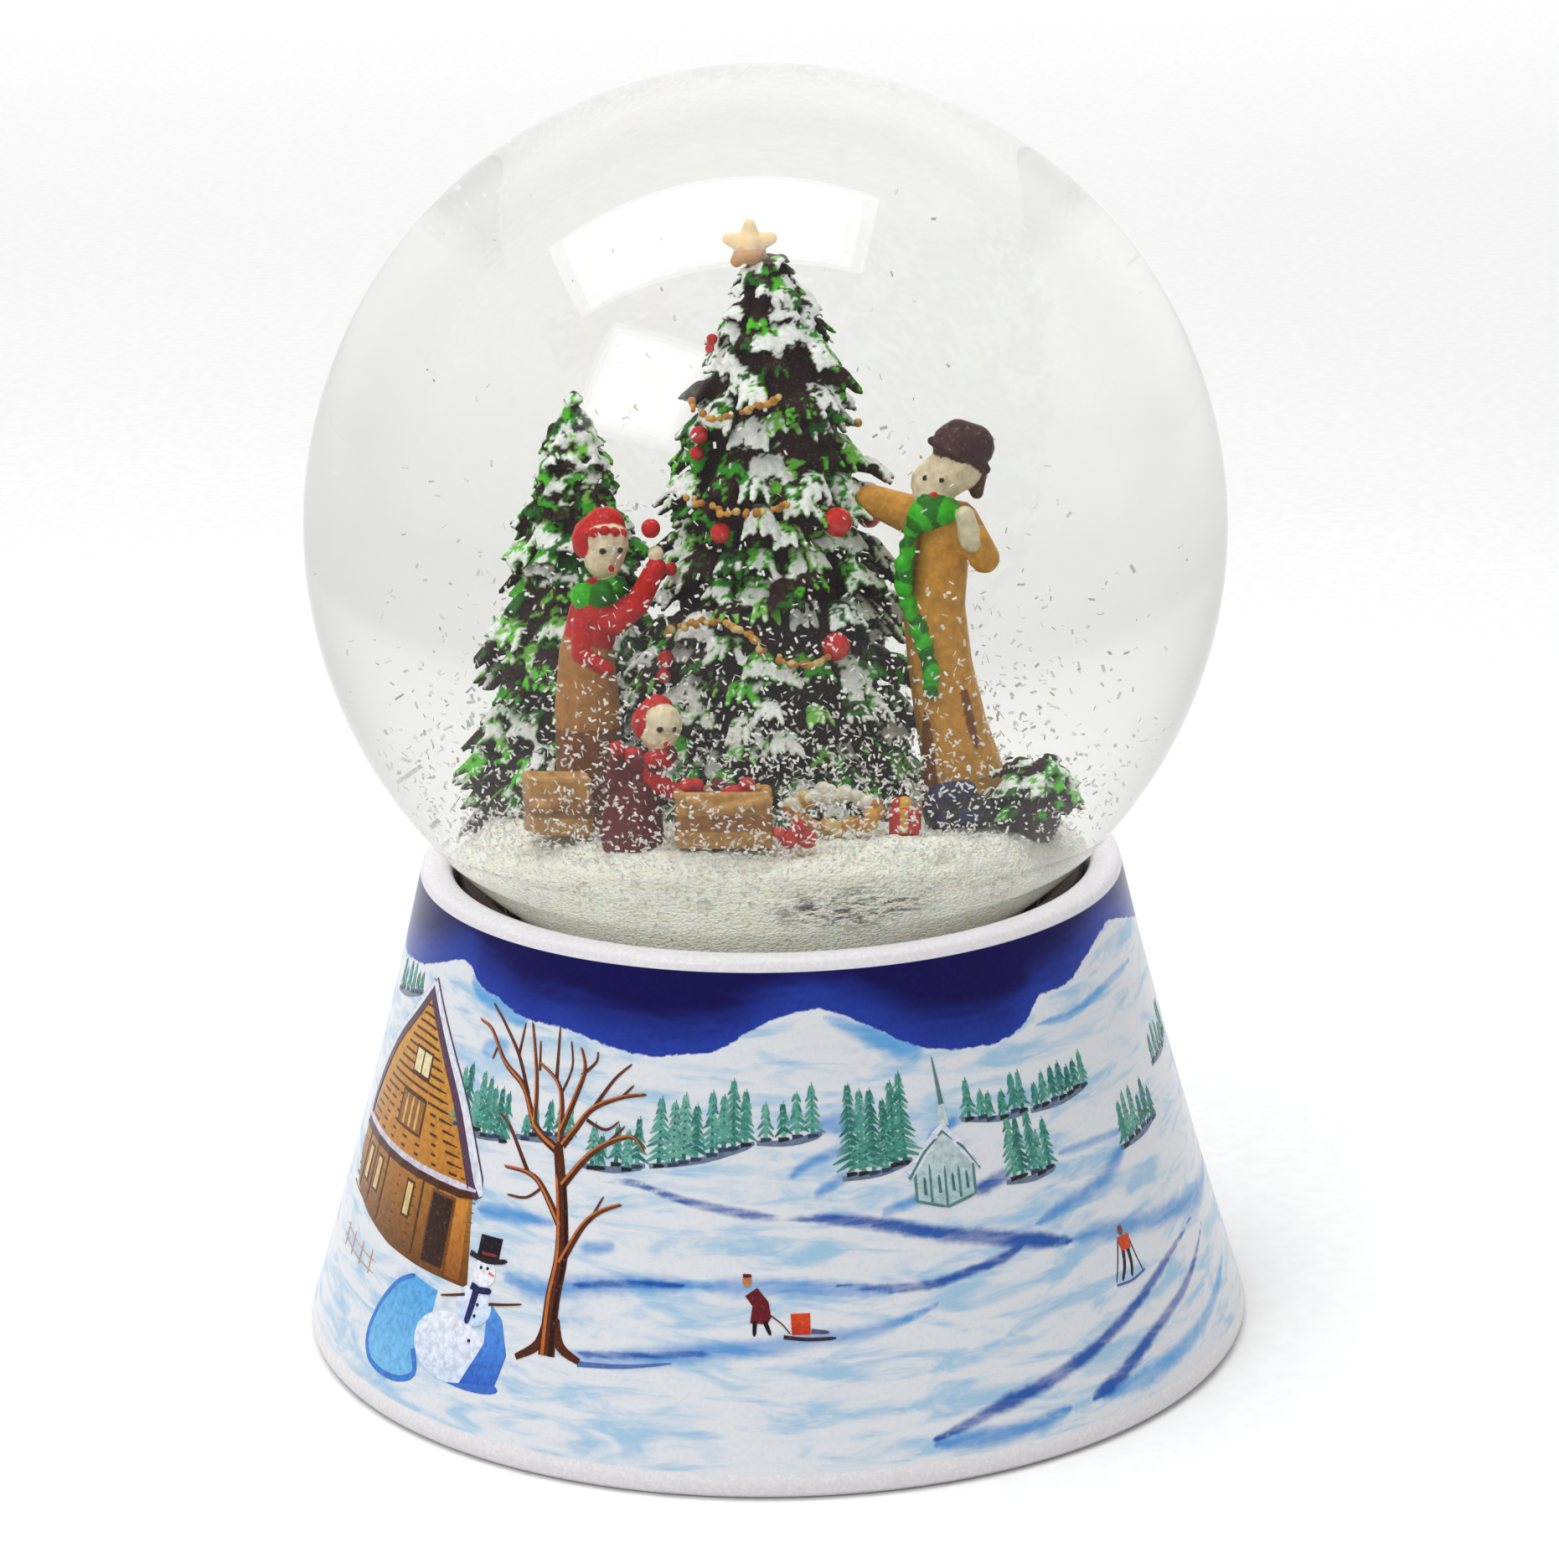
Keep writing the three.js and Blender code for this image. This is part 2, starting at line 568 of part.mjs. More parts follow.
// A right-hand worm: the radius follows the height minus the helix's rise.
// Its groove faces the wheel at the height of the wheel's axis.
function wormThread() {
  const pitch = Math.PI * GOVERNOR.module;
  const around = 12;
  const steps = Math.round(((WORM.top - WORM.bottom) / pitch) * 8);
  const radiusAt = (z, angle) => {
    const phase = (z - DRUM.axis) / pitch - (angle + TURN / 4) / TURN;
    const fromCrest = Math.abs(phase - Math.floor(phase) - 0.5) * 2; // 0 on the crest, 1 in the groove
    const crest = THREE.MathUtils.clamp((0.42 - fromCrest) / 0.3, 0, 1);
    const runOut = THREE.MathUtils.clamp(Math.min(z - WORM.bottom, WORM.top - z) / 0.5, 0, 1);
    return WORM.core + (WORM.crest - WORM.core) * crest * runOut;
  };
  const positions = [0, 0, WORM.bottom, 0, 0, WORM.top];
  for (let i = 0; i <= steps; i++) {
    const z = WORM.bottom + ((WORM.top - WORM.bottom) * i) / steps;
    for (let j = 0; j < around; j++) {
      const angle = (TURN * j) / around;
      const r = radiusAt(z, angle);
      positions.push(r * Math.cos(angle), r * Math.sin(angle), z);
    }
  }
  const index = [];
  const at = (i, j) => 2 + i * around + (j % around);
  for (let j = 0; j < around; j++) {
    index.push(0, at(0, j + 1), at(0, j), 1, at(steps, j), at(steps, j + 1));
    for (let i = 0; i < steps; i++) {
      index.push(at(i, j), at(i, j + 1), at(i + 1, j + 1), at(i, j), at(i + 1, j + 1), at(i + 1, j));
    }
  }
  const geometry = new THREE.BufferGeometry();
  geometry.setAttribute("position", new THREE.Float32BufferAttribute(positions, 3));
  geometry.setIndex(index);
  return geometry.translate(WORM.x, WORM.y, 0);
}

function governorWorm() {
  const { bottom, top, radius } = WORM_SHAFT;
  const lower = post(WORM.x, WORM.y, bottom, WORM.bottom + 0.2, radius, 10);
  const upper = post(WORM.x, WORM.y, WORM.top - 0.2, top, radius, 10);
  return join(wormThread(), lower, upper);
}

function airBrake() {
  const wing = box(-3, -0.25, 28.9, 3, 0.25, 31.2);
  const hub = post(0, 0, 28.9, 31.2, 1.2, 12);
  return cut(join(wing, hub), post(0, 0, 28, 32, 0.8, 12)).translate(WORM.x, WORM.y, 0);
}

function movementCover() {
  const { minX, minY, maxX, maxY, corner, wall, top } = COVER;
  const bottom = BED.top + GAP;
  const outer = extrude(roundedRectangle(minX, minY, maxX, maxY, corner), top - bottom, 5);
  const inner = roundedRectangle(minX + wall, minY + wall, maxX - wall, maxY - wall, corner - wall);
  return cut(outer, extrude(inner, top - wall - bottom + 5, 5).translate(0, 0, -5)).translate(0, 0, bottom);
}

// ---------- assembly ----------
place("base_shell", baseShell(), LOOK.porcelain);
place("base_plate", basePlate(), LOOK.blackPlastic);
SCREW_SPOTS.forEach((spot, i) => place(`plate_screw_${i + 1}`, plateScrew(spot), LOOK.steel));
place("globe_holder", globeHolder(), LOOK.blackPlastic);
place("neck_sealant", neckSealant(), LOOK.sealant);
place("rubber_stopper", rubberStopper(), LOOK.rubber);
place("glass_globe", glassGlobe(), LOOK.glass);
place("liquid_fill", liquidFill(), LOOK.liquid);

place("snow_mound", snowMound(), LOOK.snow);
place("settled_flakes", settledFlakes(), LOOK.flakes);
place("large_tree", largeTree(), LOOK.fir);
place("tree_star", treeStar(), LOOK.gilt);
place("small_tree", smallTree(), LOOK.fir);
place("man_figure", manFigure(), LOOK.coat);
place("woman_figure", womanFigure(), LOOK.red);
place("child_figure", childFigure(), LOOK.darkRed);
place("left_box", openBox(-21, -12.8, -15.2, -7.8, 72, 0.8), LOOK.card);
place("ornament_box", openBox(-8.4, -21.8, 0.2, -15.8, 72, 0.9), LOOK.card);
place("bead_wreath", beadWreath(), LOOK.gilt);
place("toy_parcel", toyParcel(), LOOK.red);
place("gift_sack", giftSack(), LOOK.darkCloth);
place("fir_cuttings", firCuttings(), LOOK.fir);
place("berry_sprig", berrySprig(), LOOK.red);

place("winding_key", windingKey(), LOOK.brass);
place("winding_arbor", windingArbor(), LOOK.steel);
place("great_wheel", greatWheel(), LOOK.brass);
place("mainspring", mainspring(), LOOK.springSteel);
place("spring_housing", springHousing(), LOOK.zinc);
place("bedplate", bedplate(), LOOK.zinc);
place("gear_bracket", gearBracket(), LOOK.zinc);
place("governor_frame", governorFrame(), LOOK.zinc);
place("music_drum", musicDrum(), LOOK.brass);
place("drum_pinion", drumPinion(), LOOK.steel);
place("drum_gear", gearOnX(DRUM_GEAR), LOOK.whitePlastic);
place("music_comb", musicComb(), LOOK.steel);
COMB_SCREWS.forEach((spot, i) => place(`comb_screw_${i + 1}`, combScrew(spot), LOOK.steel));
place("governor_pinion", governorPinion(), LOOK.steel);
place("worm_wheel", wormWheel(), LOOK.whitePlastic);
place("governor_worm", governorWorm(), LOOK.whitePlastic);
place("air_brake", airBrake(), LOOK.steel);
place("movement_cover", movementCover(), LOOK.clearPlastic);

export default group;
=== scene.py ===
import math
import random

import bpy
import numpy as np
from mathutils import Matrix, Vector, geometry
from mathutils.kdtree import KDTree


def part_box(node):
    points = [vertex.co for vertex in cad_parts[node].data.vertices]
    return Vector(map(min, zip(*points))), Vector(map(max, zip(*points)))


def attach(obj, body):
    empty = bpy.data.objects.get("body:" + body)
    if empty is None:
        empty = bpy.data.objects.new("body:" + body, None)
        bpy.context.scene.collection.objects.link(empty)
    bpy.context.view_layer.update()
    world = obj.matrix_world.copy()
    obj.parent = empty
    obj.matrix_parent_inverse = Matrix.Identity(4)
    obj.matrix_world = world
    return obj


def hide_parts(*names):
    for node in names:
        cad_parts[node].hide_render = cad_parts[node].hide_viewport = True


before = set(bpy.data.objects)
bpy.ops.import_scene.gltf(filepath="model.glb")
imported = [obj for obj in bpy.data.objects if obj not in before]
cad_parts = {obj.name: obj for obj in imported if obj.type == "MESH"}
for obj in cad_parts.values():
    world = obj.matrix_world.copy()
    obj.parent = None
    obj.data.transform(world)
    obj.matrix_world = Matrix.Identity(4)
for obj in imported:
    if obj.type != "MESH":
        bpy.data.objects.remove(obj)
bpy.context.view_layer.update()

MM = 0.001

# ---------- the main measures, in the frame's own terms ----------
GLOBE_RADIUS = 50.0
GLOBE_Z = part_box("glass_globe")[1].z / MM - GLOBE_RADIUS
GLASS_WALL = 2.5
INNER_RADIUS = GLOBE_RADIUS - GLASS_WALL
NECK_RADIUS = 29.5
NECK_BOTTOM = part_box("glass_globe")[0].z / MM
BASE_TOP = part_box("base_shell")[1].z / MM
FOOT_RADIUS = 53.5
RIM_RADIUS = 38.5
BASE_FLARE = 0.16  # how far the base's wall bows in, as a share of its spread


def srgb(r, g, b):
    """A colour as a painter reads it, 0 to 255, turned into linear light."""
    def linear(c):
        c /= 255
        return c / 12.92 if c <= 0.04045 else ((c + 0.055) / 1.055) ** 2.4
    return (linear(r), linear(g), linear(b))


def base_radius(z):
    """Radius of the base's outer wall at a height: wide at the foot and slightly hollow on the way up."""
    t = (BASE_TOP - z) / BASE_TOP
    return RIM_RADIUS + (FOOT_RADIUS - RIM_RADIUS) * (t + BASE_FLARE * t * (t - 1))


def unit(v):
    """A vector brought to length one."""
    return v / max(np.linalg.norm(v), 1e-9)


# ---------- finishes ----------
class Finish:
    """A Principled material with short calls for its texture nodes."""

    def __init__(self, name, **sockets):
        self.material = bpy.data.materials.new(name)
        self.material.use_nodes = True
        self.nodes = self.material.node_tree.nodes
        self.links = self.material.node_tree.links
        self.shader = self.nodes["Principled BSDF"]
        for socket, value in sockets.items():
            self.shader.inputs[socket.replace("_", " ")].default_value = value

    def node(self, kind, inputs=(), **settings):
        made = self.nodes.new("ShaderNode" + kind)
        for key, value in settings.items():
            setattr(made, key, value)
        for key, value in dict(inputs).items():
            self.set(made.inputs[key], value)
        return made

    def set(self, socket, value):
        if isinstance(value, bpy.types.NodeSocket):
            self.links.new(value, socket)
        elif isinstance(value, tuple) and len(value) == 3 and socket.type == "RGBA":
            socket.default_value = (*value, 1)
        else:
            socket.default_value = value

    def place(self, stretch=(1, 1, 1)):
        """Object coordinates in millimetres, squeezed by stretch."""
        where = self.node("TexCoord").outputs["Object"]
        scale = tuple(s / MM for s in stretch)
        return self.node("Mapping", {"Vector": where, "Scale": scale}).outputs["Vector"]

    def noise(self, scale, detail=3.0, roughness=0.5, stretch=(1, 1, 1), distortion=0.0):
        inputs = {"Vector": self.place(stretch), "Scale": scale, "Detail": detail}
        made = self.node("TexNoise", {**inputs, "Roughness": roughness, "Distortion": distortion})
        return made.outputs["Fac"]

    def cells(self, scale, stretch=(1, 1, 1)):
        made = self.node("TexVoronoi", {"Vector": self.place(stretch), "Scale": scale})
        return made.outputs["Distance"]

    def math(self, operation, a, b=0.0, c=0.0):
        made = self.node("Math", operation=operation)
        for socket, value in zip(made.inputs, (a, b, c)):
            self.set(socket, value)
        return made.outputs[0]

    def fade(self, value, low, high, to_low=0.0, to_high=1.0):
        """to_low where the value is at or under low, to_high at or over high, smooth between."""
        inputs = {"Value": value, "From Min": low, "From Max": high, "To Min": to_low, "To Max": to_high}
        return self.node("MapRange", inputs, interpolation_type="SMOOTHSTEP").outputs["Result"]

    def mix(self, factor, a, b):
        """The colour a where factor is 0 and b where it is 1; the node's colour sockets go by number."""
        made = self.node("Mix", data_type="RGBA")
        self.set(made.inputs[0], factor)
        self.set(made.inputs[6], a)
        self.set(made.inputs[7], b)
        return made.outputs[2]

    def attribute(self, name, output="Fac"):
        return self.node("Attribute", attribute_name=name).outputs[output]

    def colour(self, value):
        self.set(self.shader.inputs["Base Color"], value)

    def rough(self, value, low, high):
        self.set(self.shader.inputs["Roughness"], self.fade(value, 0.3, 0.7, low, high))

    def bump(self, height, depth, strength=1.0):
        """Relief from a height; depth is in millimetres."""
        made = self.node("Bump", {"Height": height, "Distance": depth * MM, "Strength": strength})
        self.links.new(made.outputs["Normal"], self.shader.inputs["Normal"])
        return self


def painted(name, roughness=(0.3, 0.5), grain=1.6, depth=0.05, mottling=0.22, **sockets):
    """Hand-painted resin: the colours come with the mesh, and brushwork mottles them."""
    f = Finish(name, **sockets)
    paint = f.attribute("paint", "Color")
    brush = f.noise(grain, 4, 0.6)
    shade = f.mix(f.fade(brush, 0.3, 0.72, 0.0, mottling), paint, (0.02, 0.012, 0.01))
    f.colour(f.mix(f.fade(f.noise(grain * 2.3), 0.55, 0.8, 0.0, 0.16), shade, (1.0, 0.98, 0.92)))
    f.rough(brush, *roughness)
    return f.bump(brush, depth).material


def soften(node, material, voxel, body="base"):
    """The frame's own piece with its edges rounded over."""
    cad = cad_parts[node]
    points = [cad.matrix_world @ v.co / MM for v in cad.data.vertices]
    faces = [tuple(p.vertices) for p in cad.data.polygons]
    skin = fuse(node + "_rounded", [(np.array(points), faces)], voxel, 3)
    piece = finish_skin(skin, material, None, body)
    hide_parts(node)


def metal(name, colour, roughness, brushed=(1, 1, 14), grain=0.8):
    """Metal with fine lines drawn across the stretched direction."""
    f = Finish(name, Metallic=1.0)
    lines = f.noise(grain, 3, 0.6, stretch=brushed)
    f.colour(f.mix(f.fade(lines, 0.3, 0.7), tuple(c * 0.72 for c in colour), colour))
    f.rough(lines, roughness * 0.75, roughness * 1.35)
    return f.bump(lines, 0.01, 0.5).material


def moulded(name, colour, roughness, depth=0.03, grain=3.0):
    """Plain moulded plastic or rubber: fine grain, faint mottling."""
    f = Finish(name)
    grain_noise = f.noise(grain, 4, 0.6)
    f.colour(f.mix(f.fade(grain_noise, 0.35, 0.7), tuple(c * 0.8 for c in colour), colour))
    f.rough(grain_noise, roughness * 0.85, roughness * 1.15)
    return f.bump(grain_noise, depth, 0.6).material


def clear(name, tint, ior, roughness=0.0):
    """Glass or clear plastic with a faint tint."""
    f = Finish(name, Transmission_Weight=1.0, IOR=ior, Roughness=roughness)
    f.colour(f.mix(f.fade(f.noise(0.05), 0.3, 0.7), tint, tuple(c * 0.996 for c in tint)))
    return f.material


# ---------- meshes ----------
def mesh_piece(name, points, faces, material, paint=None, smooth=True):
    """A mesh from points in millimetres, with an optional colour for each point."""
    mesh = bpy.data.meshes.new(name)
    mesh.from_pydata((np.asarray(points, float) * MM).tolist(), [], [list(map(int, f)) for f in faces])
    mesh.update()
    return dress(bpy.data.objects.new(name, mesh), material, paint, smooth)


def dress(piece, material, paint=None, smooth=True, body="base"):
    """Puts a new piece in the scene with its material and point colours, riding on a body."""
    bpy.context.scene.collection.objects.link(piece)
    mesh = piece.data
    mesh.materials.clear()
    for one in material if isinstance(material, list) else [material]:
        mesh.materials.append(one)
    if paint is not None:
        layer = mesh.attributes.new("paint", "FLOAT_COLOR", "POINT")
        rgba = np.ones((len(mesh.vertices), 4), np.float32)
        rgba[:, :3] = paint
        layer.data.foreach_set("color", rgba.ravel())
    if smooth:
        mesh.shade_smooth()
    else:
        mesh.shade_flat()
    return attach(piece, body)


def grid_faces(rows, columns, closed_rows=False):
    """Quads of a sheet of rows x columns points that closes round its columns."""
    faces = []
    for i in range(rows if closed_rows else rows - 1):
        for j in range(columns):
            k = (j + 1) % columns
            n = (i + 1) % rows
            faces.append((i * columns + j, i * columns + k, n * columns + k, n * columns + j))
    return faces


def turned(profile, segments):
    """Points and faces of a closed profile [(radius, z)] turned about Z."""
    angles = np.linspace(0, 2 * math.pi, segments, endpoint=False)
    points = [(r * math.cos(a), r * math.sin(a), z) for r, z in profile for a in angles]
    return np.array(points), grid_faces(len(profile), segments, closed_rows=True)


def globe_arc(radius, start, end, steps):
    """Profile pairs along an arc about the globe's centre, angles in degrees up from level."""
    angles = np.radians(np.linspace(start, end, steps))
    return [(radius * math.cos(a), GLOBE_Z + radius * math.sin(a)) for a in angles]


def limb_mesh(start, end, r0, r1, sides=12):
    """A closed rounded limb between two points; equal points give a ball."""
    start, end = np.array(start, float), np.array(end, float)
    axis = end - start if np.linalg.norm(end - start) > 1e-6 else np.array([0, 0, 1e-3])
    along = unit(axis)
    side = unit(np.cross(along, [0.31, 0.9, 0.2]))
    other = np.cross(along, side)
    bend = np.radians([-90, -60, -30, 0])
    stations = [(start, r0, b) for b in bend] + [(end, r1, -b) for b in bend[::-1]]
    turn = np.linspace(0, 2 * math.pi, sides, endpoint=False)
    rings = []
    for centre, radius, b in stations:
        middle = centre + along * radius * math.sin(b)
        reach = max(radius * math.cos(b), 1e-4)
        rings += [middle + reach * (math.cos(t) * side + math.sin(t) * other) for t in turn]
    faces = grid_faces(len(stations), sides)
    last = (len(stations) - 1) * sides
    return np.array(rings), faces + [tuple(range(sides))[::-1], tuple(range(last, last + sides))]


def fuse(name, meshes, voxel, smoothing=2):
    """Overlapping closed meshes remeshed into one skin; the result is in millimetres."""
    points, faces = [], []
    for these_points, these_faces in meshes:
        faces += [tuple(i + len(points) for i in face) for face in these_faces]
        points += these_points.tolist()
    mesh = bpy.data.meshes.new(name)
    mesh.from_pydata(points, [], faces)
    piece = bpy.data.objects.new(name, mesh)
    bpy.context.scene.collection.objects.link(piece)
    remesh = piece.modifiers.new("skin", "REMESH")
    remesh.mode = "VOXEL"
    remesh.voxel_size = voxel
    relax = piece.modifiers.new("relax", "SMOOTH")
    relax.iterations = smoothing
    skin = bpy.data.meshes.new_from_object(piece.evaluated_get(bpy.context.evaluated_depsgraph_get()))
    bpy.data.objects.remove(piece)
    bpy.data.meshes.remove(mesh)
    skin.name = name
    return skin


def vertex_values(mesh, field):
    """The "co" or "normal" of every vertex, as rows of an array."""
    values = np.empty(len(mesh.vertices) * 3, np.float32)
    mesh.vertices.foreach_get(field, values)
    return values.reshape(-1, 3).astype(float)


def finish_skin(skin, material, paint, body="base"):
    """A fused skin, still in millimetres, made into a dressed piece in metres."""
    skin.transform(Matrix.Scale(MM, 4))
    return dress(bpy.data.objects.new(skin.name, skin), material, paint, True, body)


def limb_distance(points, start, end, r0, r1):
    """How far each point lies outside a limb."""
    start, end = np.array(start, float), np.array(end, float)
    axis = end - start
    t = np.clip((points - start) @ axis / max(axis @ axis, 1e-9), 0, 1)
    return np.linalg.norm(points - start - t[:, None] * axis, axis=1) - (r0 + (r1 - r0) * t)


def sculpt(name, parts, material, voxel=0.2, smoothing=2):
    """Rounded parts (start, end, r0, r1, colour) fused into one skin, painted by the nearest part."""
    skin = fuse(name, [limb_mesh(*part[:4]) for part in parts], voxel, smoothing)
    points = vertex_values(skin, "co")
    distances = np.array([limb_distance(points, *part[:4]) for part in parts])
    colours = np.array([part[4] for part in parts])
    return finish_skin(skin, material, colours[distances.argmin(0)])


def chain(points, radii, colour):
    """Parts of a limb that bends through several points."""
    pairs = zip(points[:-1], points[1:], radii[:-1], radii[1:])
    return [(a, b, ra, rb, colour) for a, b, ra, rb in pairs]


def ball(centre, radius, colour):
    """A part of no length."""
    return (centre, centre, radius, radius, colour)


def value_noise(points, scale, seed):
    """Smooth noise in -1..1 from a few seeded waves, for displacing points in code."""
    rng = np.random.default_rng(seed)
    total = np.zeros(len(points))
    for octave in range(3):
        for _ in range(6):
            direction = unit(rng.normal(size=3)) * 2 * math.pi / scale * 2**octave
            total += np.sin(points @ direction + rng.uniform(0, 6.28)) / 2**octave
    return total / 5


# ---------- camera, light, floor ----------
LENS = 103.38
CAMERA_Y, CAMERA_Z = -477.15, 202.32
PITCH, YAW, ROLL = 16.454, 0.128, -0.89  # degrees: looking down, to the right, leaning


def add_camera():
    """The view the photograph was taken from."""
    data = bpy.data.cameras.new("camera")
    data.lens = LENS
    camera = bpy.data.objects.new("camera", data)
    bpy.context.scene.collection.objects.link(camera)
    pitch, yaw, roll = math.radians(PITCH), math.radians(YAW), math.radians(ROLL)
    tilt = Matrix.Rotation(math.pi / 2 - pitch, 4, "X")
    turn = Matrix.Rotation(-yaw, 4, "Z") @ tilt @ Matrix.Rotation(roll, 4, "Z")
    camera.matrix_world = Matrix.Translation((0, CAMERA_Y * MM, CAMERA_Z * MM)) @ turn
    bpy.context.scene.camera = camera


def add_area(name, place, target, size, power):
    """An area lamp with its long side level. Its own image doesn't show through the glass."""
    data = bpy.data.lights.new(name, "AREA")
    data.shape = "RECTANGLE"
    data.size, data.size_y = size
    data.energy = power
    lamp = bpy.data.objects.new(name, data)
    lamp.visible_transmission = False
    lamp.visible_glossy = name != "behind"
    bpy.context.scene.collection.objects.link(lamp)
    back = (Vector(place) - Vector(target)).normalized()
    level = Vector((0, 1, 0)) if back.z > 0.8 else Vector((0, 0, 1))
    across = level.cross(back).normalized()
    turn = Matrix((across, back.cross(across), back)).transposed().to_4x4()
    lamp.matrix_world = Matrix.Translation(place) @ turn


def add_studio():
    """A pale sky, a soft box overhead, another at the front left, and a wide lamp on the backdrop.

    Each soft box is four lamps, one inside the other, so that it is brighter in its middle.
    """
    world = bpy.data.worlds.new("studio")
    world.use_nodes = True
    sky = world.node_tree.nodes["Background"]
    sky.inputs["Color"].default_value = (1.0, 1.0, 0.995, 1)
    sky.inputs["Strength"].default_value = 0.56
    bpy.context.scene.world = world
    bpy.context.scene.view_settings.view_transform = "Standard"
    bpy.context.scene.view_settings.look = "Medium High Contrast"
    middle = (0, 0, 0.08)
    soft_boxes = (
        ("overhead", (-0.13, 0.02, 0.95), (0.95, 0.42), 3.9),
        ("front_left", (-0.5, -0.62, 0.86), (0.52, 0.5), 3.2),
    )
    for share in (1.0, 0.9, 0.8, 0.7):
        for name, (x, y, z), (long, wide), watts_per_area in soft_boxes:
            size = (long * share, wide * share)
            add_area(name, (x, y, z - 0.02 * share), middle, size, watts_per_area * size[0] * size[1])
    add_area("behind", (0, 1.1, 1.5), (0, 2.2, 1.0), (4.2, 1.0), 25.0)


def add_floor():
    """Pale paper that sweeps up behind the object, so that no horizon shows through the glass."""
    f = Finish("floor_paper", Roughness=0.7)
    fibre = f.noise(0.4, 3)
    f.colour(f.mix(f.fade(fibre, 0.3, 0.7), (0.79, 0.79, 0.79), (0.82, 0.82, 0.82)))
    reach, bend, start, top = 12.0, 0.9, 1.3, 3.4
    turn = np.radians(np.linspace(-90, 0, 25))
    sweep = [(start + bend * math.cos(t), bend + bend * math.sin(t)) for t in turn]
    profile = [(-reach, 0), *sweep, (start + bend, top)]
    points = [(x, y, z) for y, z in profile for x in (-reach, reach)]
    faces = [(2 * i, 2 * i + 1, 2 * i + 3, 2 * i + 2) for i in range(len(profile) - 1)]
    mesh = bpy.data.meshes.new("floor")
    mesh.from_pydata(points, [], faces)
    mesh.materials.append(f.material)
    mesh.shade_smooth()
    floor = bpy.data.objects.new("floor", mesh)
    bpy.context.scene.collection.objects.link(floor)


# ---------- the globe ----------
GLASS_IOR = 1.5
LIQUID_IOR = 1.333
NEAR_POLE = 89.4  # degrees up from level where the last ring of the glass lies


def add_glass():
    """One closed shell. Its inner face meets the liquid: it bends light by the ratio of the indices."""
    segments = 160
    low = math.degrees(math.asin(math.sqrt(1 - (NECK_RADIUS / GLOBE_RADIUS) ** 2)))
    inner_neck = NECK_RADIUS - GLASS_WALL
    low_in = math.degrees(math.asin(math.sqrt(1 - (inner_neck / INNER_RADIUS) ** 2)))
    outer = [(NECK_RADIUS, NECK_BOTTOM), *globe_arc(GLOBE_RADIUS, -low, NEAR_POLE, 110)]
    inner = [*globe_arc(INNER_RADIUS, NEAR_POLE, -low_in, 100), (inner_neck, NECK_BOTTOM)]
    points, faces = sheet_shell(outer, inner, segments)
    glass_out = clear("globe_glass", (0.92, 0.92, 0.905), GLASS_IOR)
    glass_in = clear("glass_to_liquid", (0.925, 0.927, 0.91), GLASS_IOR / LIQUID_IOR)
    piece = mesh_piece("glass_globe_fine", points, faces, [glass_out, glass_in])
    heights = len(outer)
    inner_start = heights * segments + 1
    for polygon in piece.data.polygons:
        polygon.material_index = int(min(polygon.vertices) >= inner_start)
    piece.visible_shadow = False
    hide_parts("glass_globe", "liquid_fill")


def sheet_shell(outer, inner, segments):
    """A blown shell: two turned sheets, each closed by a point on the axis, joined at the neck."""
    angles = np.linspace(0, 2 * math.pi, segments, endpoint=False)

    def rings(profile):
        return [(r * math.cos(a), r * math.sin(a), z) for r, z in profile for a in angles]

    points = rings(outer) + [(0, 0, GLOBE_Z + GLOBE_RADIUS)]
    points += rings(inner) + [(0, 0, GLOBE_Z + INNER_RADIUS)]
    faces = grid_faces(len(outer), segments)
    top = len(outer) * segments
    first = top + 1
    faces += [(top - segments + j, top - segments + (j + 1) % segments, top) for j in range(segments)]
    faces += [tuple(i + first for i in face) for face in grid_faces(len(inner), segments)]
    last = first + len(inner) * segments
    faces += [(first + (j + 1) % segments, first + j, last) for j in range(segments)]
    end = last - segments
    faces += [(j, end + j, end + (j + 1) % segments, (j + 1) % segments) for j in range(segments)]
    return points, faces


def add_collar():
    """Dark holder under the globe: its upper edge shows as the dark gap inside the rim."""
    bore = NECK_RADIUS + 0.4
    hub = [(10, 36.3), (30.6, 36.3), (31, 36.7), (31, 38.8)]
    flange = [(36.7, 38.8), (37, 39.1), (37, 40.3), (36.7, 40.6), (31.9, 40.6), (31.5, 41)]
    cup = [(31.5, 45.7), (34.5, 51.9), (34.2, 52.3), (33.1, 52.3), (bore, 48.6)]
    points, faces = turned(hub + flange + cup + [(bore, 38.7), (10, 38.7)], 120)
    plastic = moulded("holder_plastic", srgb(40, 24, 16), 0.55)
    piece = mesh_piece("globe_holder_fine", points, faces, plastic, smooth=False)
    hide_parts("globe_holder")


# ---------- the printed base ----------
# The skyline of the print: (azimuth in degrees from the front, height).
RIDGE = [
    (-180, 45.5), (-160, 43.2), (-140, 47.6), (-118, 44.0), (-100, 47.8), (-84, 44.8), (-74, 45.4),
    (-66, 46.6), (-55.5, 49.0), (-50.6, 47.2), (-46, 46.6), (-40, 45.4), (-33, 45.4), (-27, 44.6),
    (-19.2, 43.8), (-13, 44.2), (-8.3, 44.8), (-4, 46.6), (0, 47.9), (4, 48.7), (8, 48.6), (14, 46.9),
    (19.7, 44.6), (25, 43.4), (34, 42.9), (40, 44.0), (44, 46.2), (51, 46.5), (57, 48.2), (66, 50.0),
    (76, 48.4), (90, 46.0), (106, 48.6), (122, 45.0), (140, 48.4), (160, 44.4), (180, 45.5),
]
